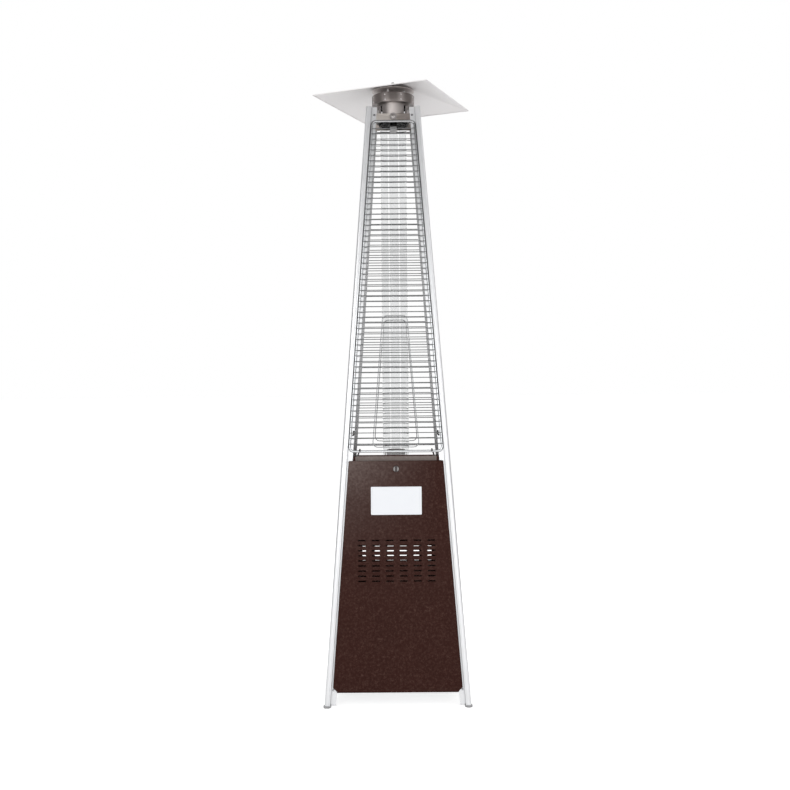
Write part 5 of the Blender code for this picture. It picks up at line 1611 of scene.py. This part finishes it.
def add_camera():
    data = bpy.data.cameras.new("photo_view")
    data.sensor_fit = "HORIZONTAL"
    data.sensor_width = SENSOR
    data.lens = FOCAL_PIXELS / PHOTO_PIXELS * SENSOR
    camera = bpy.data.objects.new("photo_view", data)
    bpy.context.scene.collection.objects.link(camera)
    flat = math.cos(CAMERA_PITCH)
    ahead = Vector((math.sin(CAMERA_YAW) * flat, math.cos(CAMERA_YAW) * flat, math.sin(CAMERA_PITCH)))
    right = Vector((math.cos(CAMERA_YAW), -math.sin(CAMERA_YAW), 0))
    up = right.cross(ahead)
    across = math.cos(CAMERA_ROLL) * right + math.sin(CAMERA_ROLL) * up
    above = math.cos(CAMERA_ROLL) * up - math.sin(CAMERA_ROLL) * right
    turn = Matrix((across, above, -ahead)).transposed().to_4x4()
    camera.matrix_world = Matrix.Translation(CAMERA_AT) @ turn
    bpy.context.scene.camera = camera


def add_softbox(name, place, target, wide, tall, power, colour=(1, 1, 1)):
    data = bpy.data.lights.new(name, "AREA")
    data.shape = "RECTANGLE"
    data.size, data.size_y = wide, tall
    data.energy = power
    data.color = colour
    lamp = bpy.data.objects.new(name, data)
    bpy.context.scene.collection.objects.link(lamp)
    lamp.location = place
    lamp.rotation_euler = (Vector(target) - Vector(place)).to_track_quat("-Z", "Y").to_euler()
    lamp.visible_camera = False
    lamp.visible_transmission = False
    return lamp


def seen_directly(graph):
    """1 for camera, glossy and transmission rays, 0 for light that falls on the object."""
    path = graph.tree.nodes.new("ShaderNodeLightPath")
    rays = [Value(graph, path.outputs[name]) for name in ("Is Camera Ray", "Is Glossy Ray", "Is Transmission Ray")]
    return rays[0].math("MAXIMUM", rays[0].math("MAXIMUM", rays[0], rays[1]), rays[2])


WORLD_LIGHT = 0.72
FLOOR_GLOW_NEAR = 0.62
FLOOR_GLOW_FAR = 0.36
FLAG_GREY = 0.30


def add_world():
    world = bpy.data.worlds.new("studio")
    bpy.context.scene.world = world
    world.use_nodes = True
    graph = Graph(world.node_tree)
    world.node_tree.nodes.clear()
    strength = seen_directly(graph) * (1 - WORLD_LIGHT) + WORLD_LIGHT
    light = graph.add("ShaderNodeBackground", {}, {"Color": (1, 1, 1, 1), "Strength": strength})
    graph.add("ShaderNodeOutputWorld", {}, {"Surface": light})


def add_floor():
    """A white floor that keeps the heater's shadow and runs out into the white world."""
    build = bmesh.new()
    bmesh.ops.create_grid(build, x_segments=1, y_segments=1, size=60)
    floor = link("floor", finish_mesh(build, "floor", False))
    paint = Finish("floor_paint")
    clouds = paint.noise(1.5, 2.0)
    tone = paint.blend(clouds, (0.86, 0.86, 0.86), (0.88, 0.88, 0.88))
    reach = paint.add("ShaderNodeVectorMath", {"operation": "LENGTH"}, {0: paint.place}, "Value")
    sockets = {"Value": reach, "From Min": 1.5, "From Max": 7.0, "To Min": FLOOR_GLOW_NEAR, "To Max": FLOOR_GLOW_FAR}
    glow = paint.add("ShaderNodeMapRange", {}, sockets) * seen_directly(paint)
    paint.done(base_color=tone, roughness=0.9, emission_color=(1, 1, 1, 1), emission_strength=glow)
    floor.data.materials.append(paint.material)


def add_flag(name, place, target, wide, tall, grey):
    """A grey studio flag that only shows in reflections, as darker edges on bright metal."""
    build = bmesh.new()
    bmesh.ops.create_grid(build, x_segments=1, y_segments=1, size=0.5)
    flag = link(name, finish_mesh(build, name, False))
    turn = (Vector(target) - Vector(place)).to_track_quat("Z", "Y").to_matrix().to_4x4()
    flag.data.transform(Matrix.Translation(place) @ turn @ Matrix.Diagonal((wide, tall, 1, 1)))
    cloth = Finish(name + "_cloth")
    weave = cloth.noise(60.0, 2.0)
    tone = cloth.blend(weave, (grey * 0.96,) * 3, (grey,) * 3)
    shine = cloth.add("ShaderNodeEmission", {}, {"Color": tone, "Strength": 1.0})
    cloth.add("ShaderNodeOutputMaterial", {}, {"Surface": shine})
    flag.data.materials.append(cloth.material)
    for ray in ("camera", "diffuse", "shadow", "transmission", "volume_scatter"):
        setattr(flag, "visible_" + ray, False)


def add_surroundings():
    add_world()
    add_floor()
    add_flag("left_flag", (-4.2, -0.9, 1.6), (0, -0.9, 1.6), 5.6, 4.4, FLAG_GREY)
    add_flag("right_flag", (4.2, -0.9, 1.6), (0, -0.9, 1.6), 5.6, 4.4, 0.50)
    add_flag("high_flag", (0, -4.6, 4.6), (0, 0, 1.6), 6.0, 3.2, 0.45)
    add_softbox("key_softbox", (-1.7, -3.9, 1.9), (0, 0, 1.1), 1.5, 1.8, 30)
    add_softbox("front_softbox", (0.5, -5.4, 1.5), (0, 0, 1.2), 3.0, 2.6, 32)
    add_softbox("fill_softbox", (2.9, -2.3, 2.5), (0, 0, 1.9), 1.8, 1.5, 13)
    add_softbox("rear_softbox", (0.8, 4.0, 2.6), (0, 0, 1.2), 3.0, 2.6, 28)
    bpy.context.scene.view_settings.view_transform = "Standard"


add_camera()
add_surroundings()

for turns, word in enumerate(CORNERS):
    add_post(turns, word)
    add_foot(turns, word)
for turns, word in enumerate(SIDES):
    add_guard(turns, word)
    add_bar(turns, word)
add_panel("door_panel", "door_skin", 0, "door", SLOT_TOP, DOOR_LOW_HEM, coat=DOOR_BRONZE)
add_panel("right_panel", "right_skin", 1, BODY)
add_panel("left_panel", "left_skin", 3, BODY)
knob_hole = ([lean_spot(0, high("valve_stem").z - 0.004)], 0.0112, 0.0112)
igniter_z = (low("igniter_body").z + high("igniter_body").z) / 2
igniter_x = (low("igniter_body").x + high("igniter_body").x) / 2
igniter_hole = ([lean_spot(-igniter_x, igniter_z)], 0.0194, 0.0194)
add_panel("rear_panel", "rear_skin", 2, BODY, REAR_SLOT_TOP, holes=[knob_hole, igniter_hole])
add_notice_plate()
add_latch()
dress_brackets()
add_deck()
add_shelf()
add_burner()
add_burner_head()
add_rods()
add_tube()
add_top_ring()
add_cup()
add_drum()
add_studs()
add_disc()
add_reflector()
add_fixings()
add_flange_screws()
add_controls()
dress_rest()
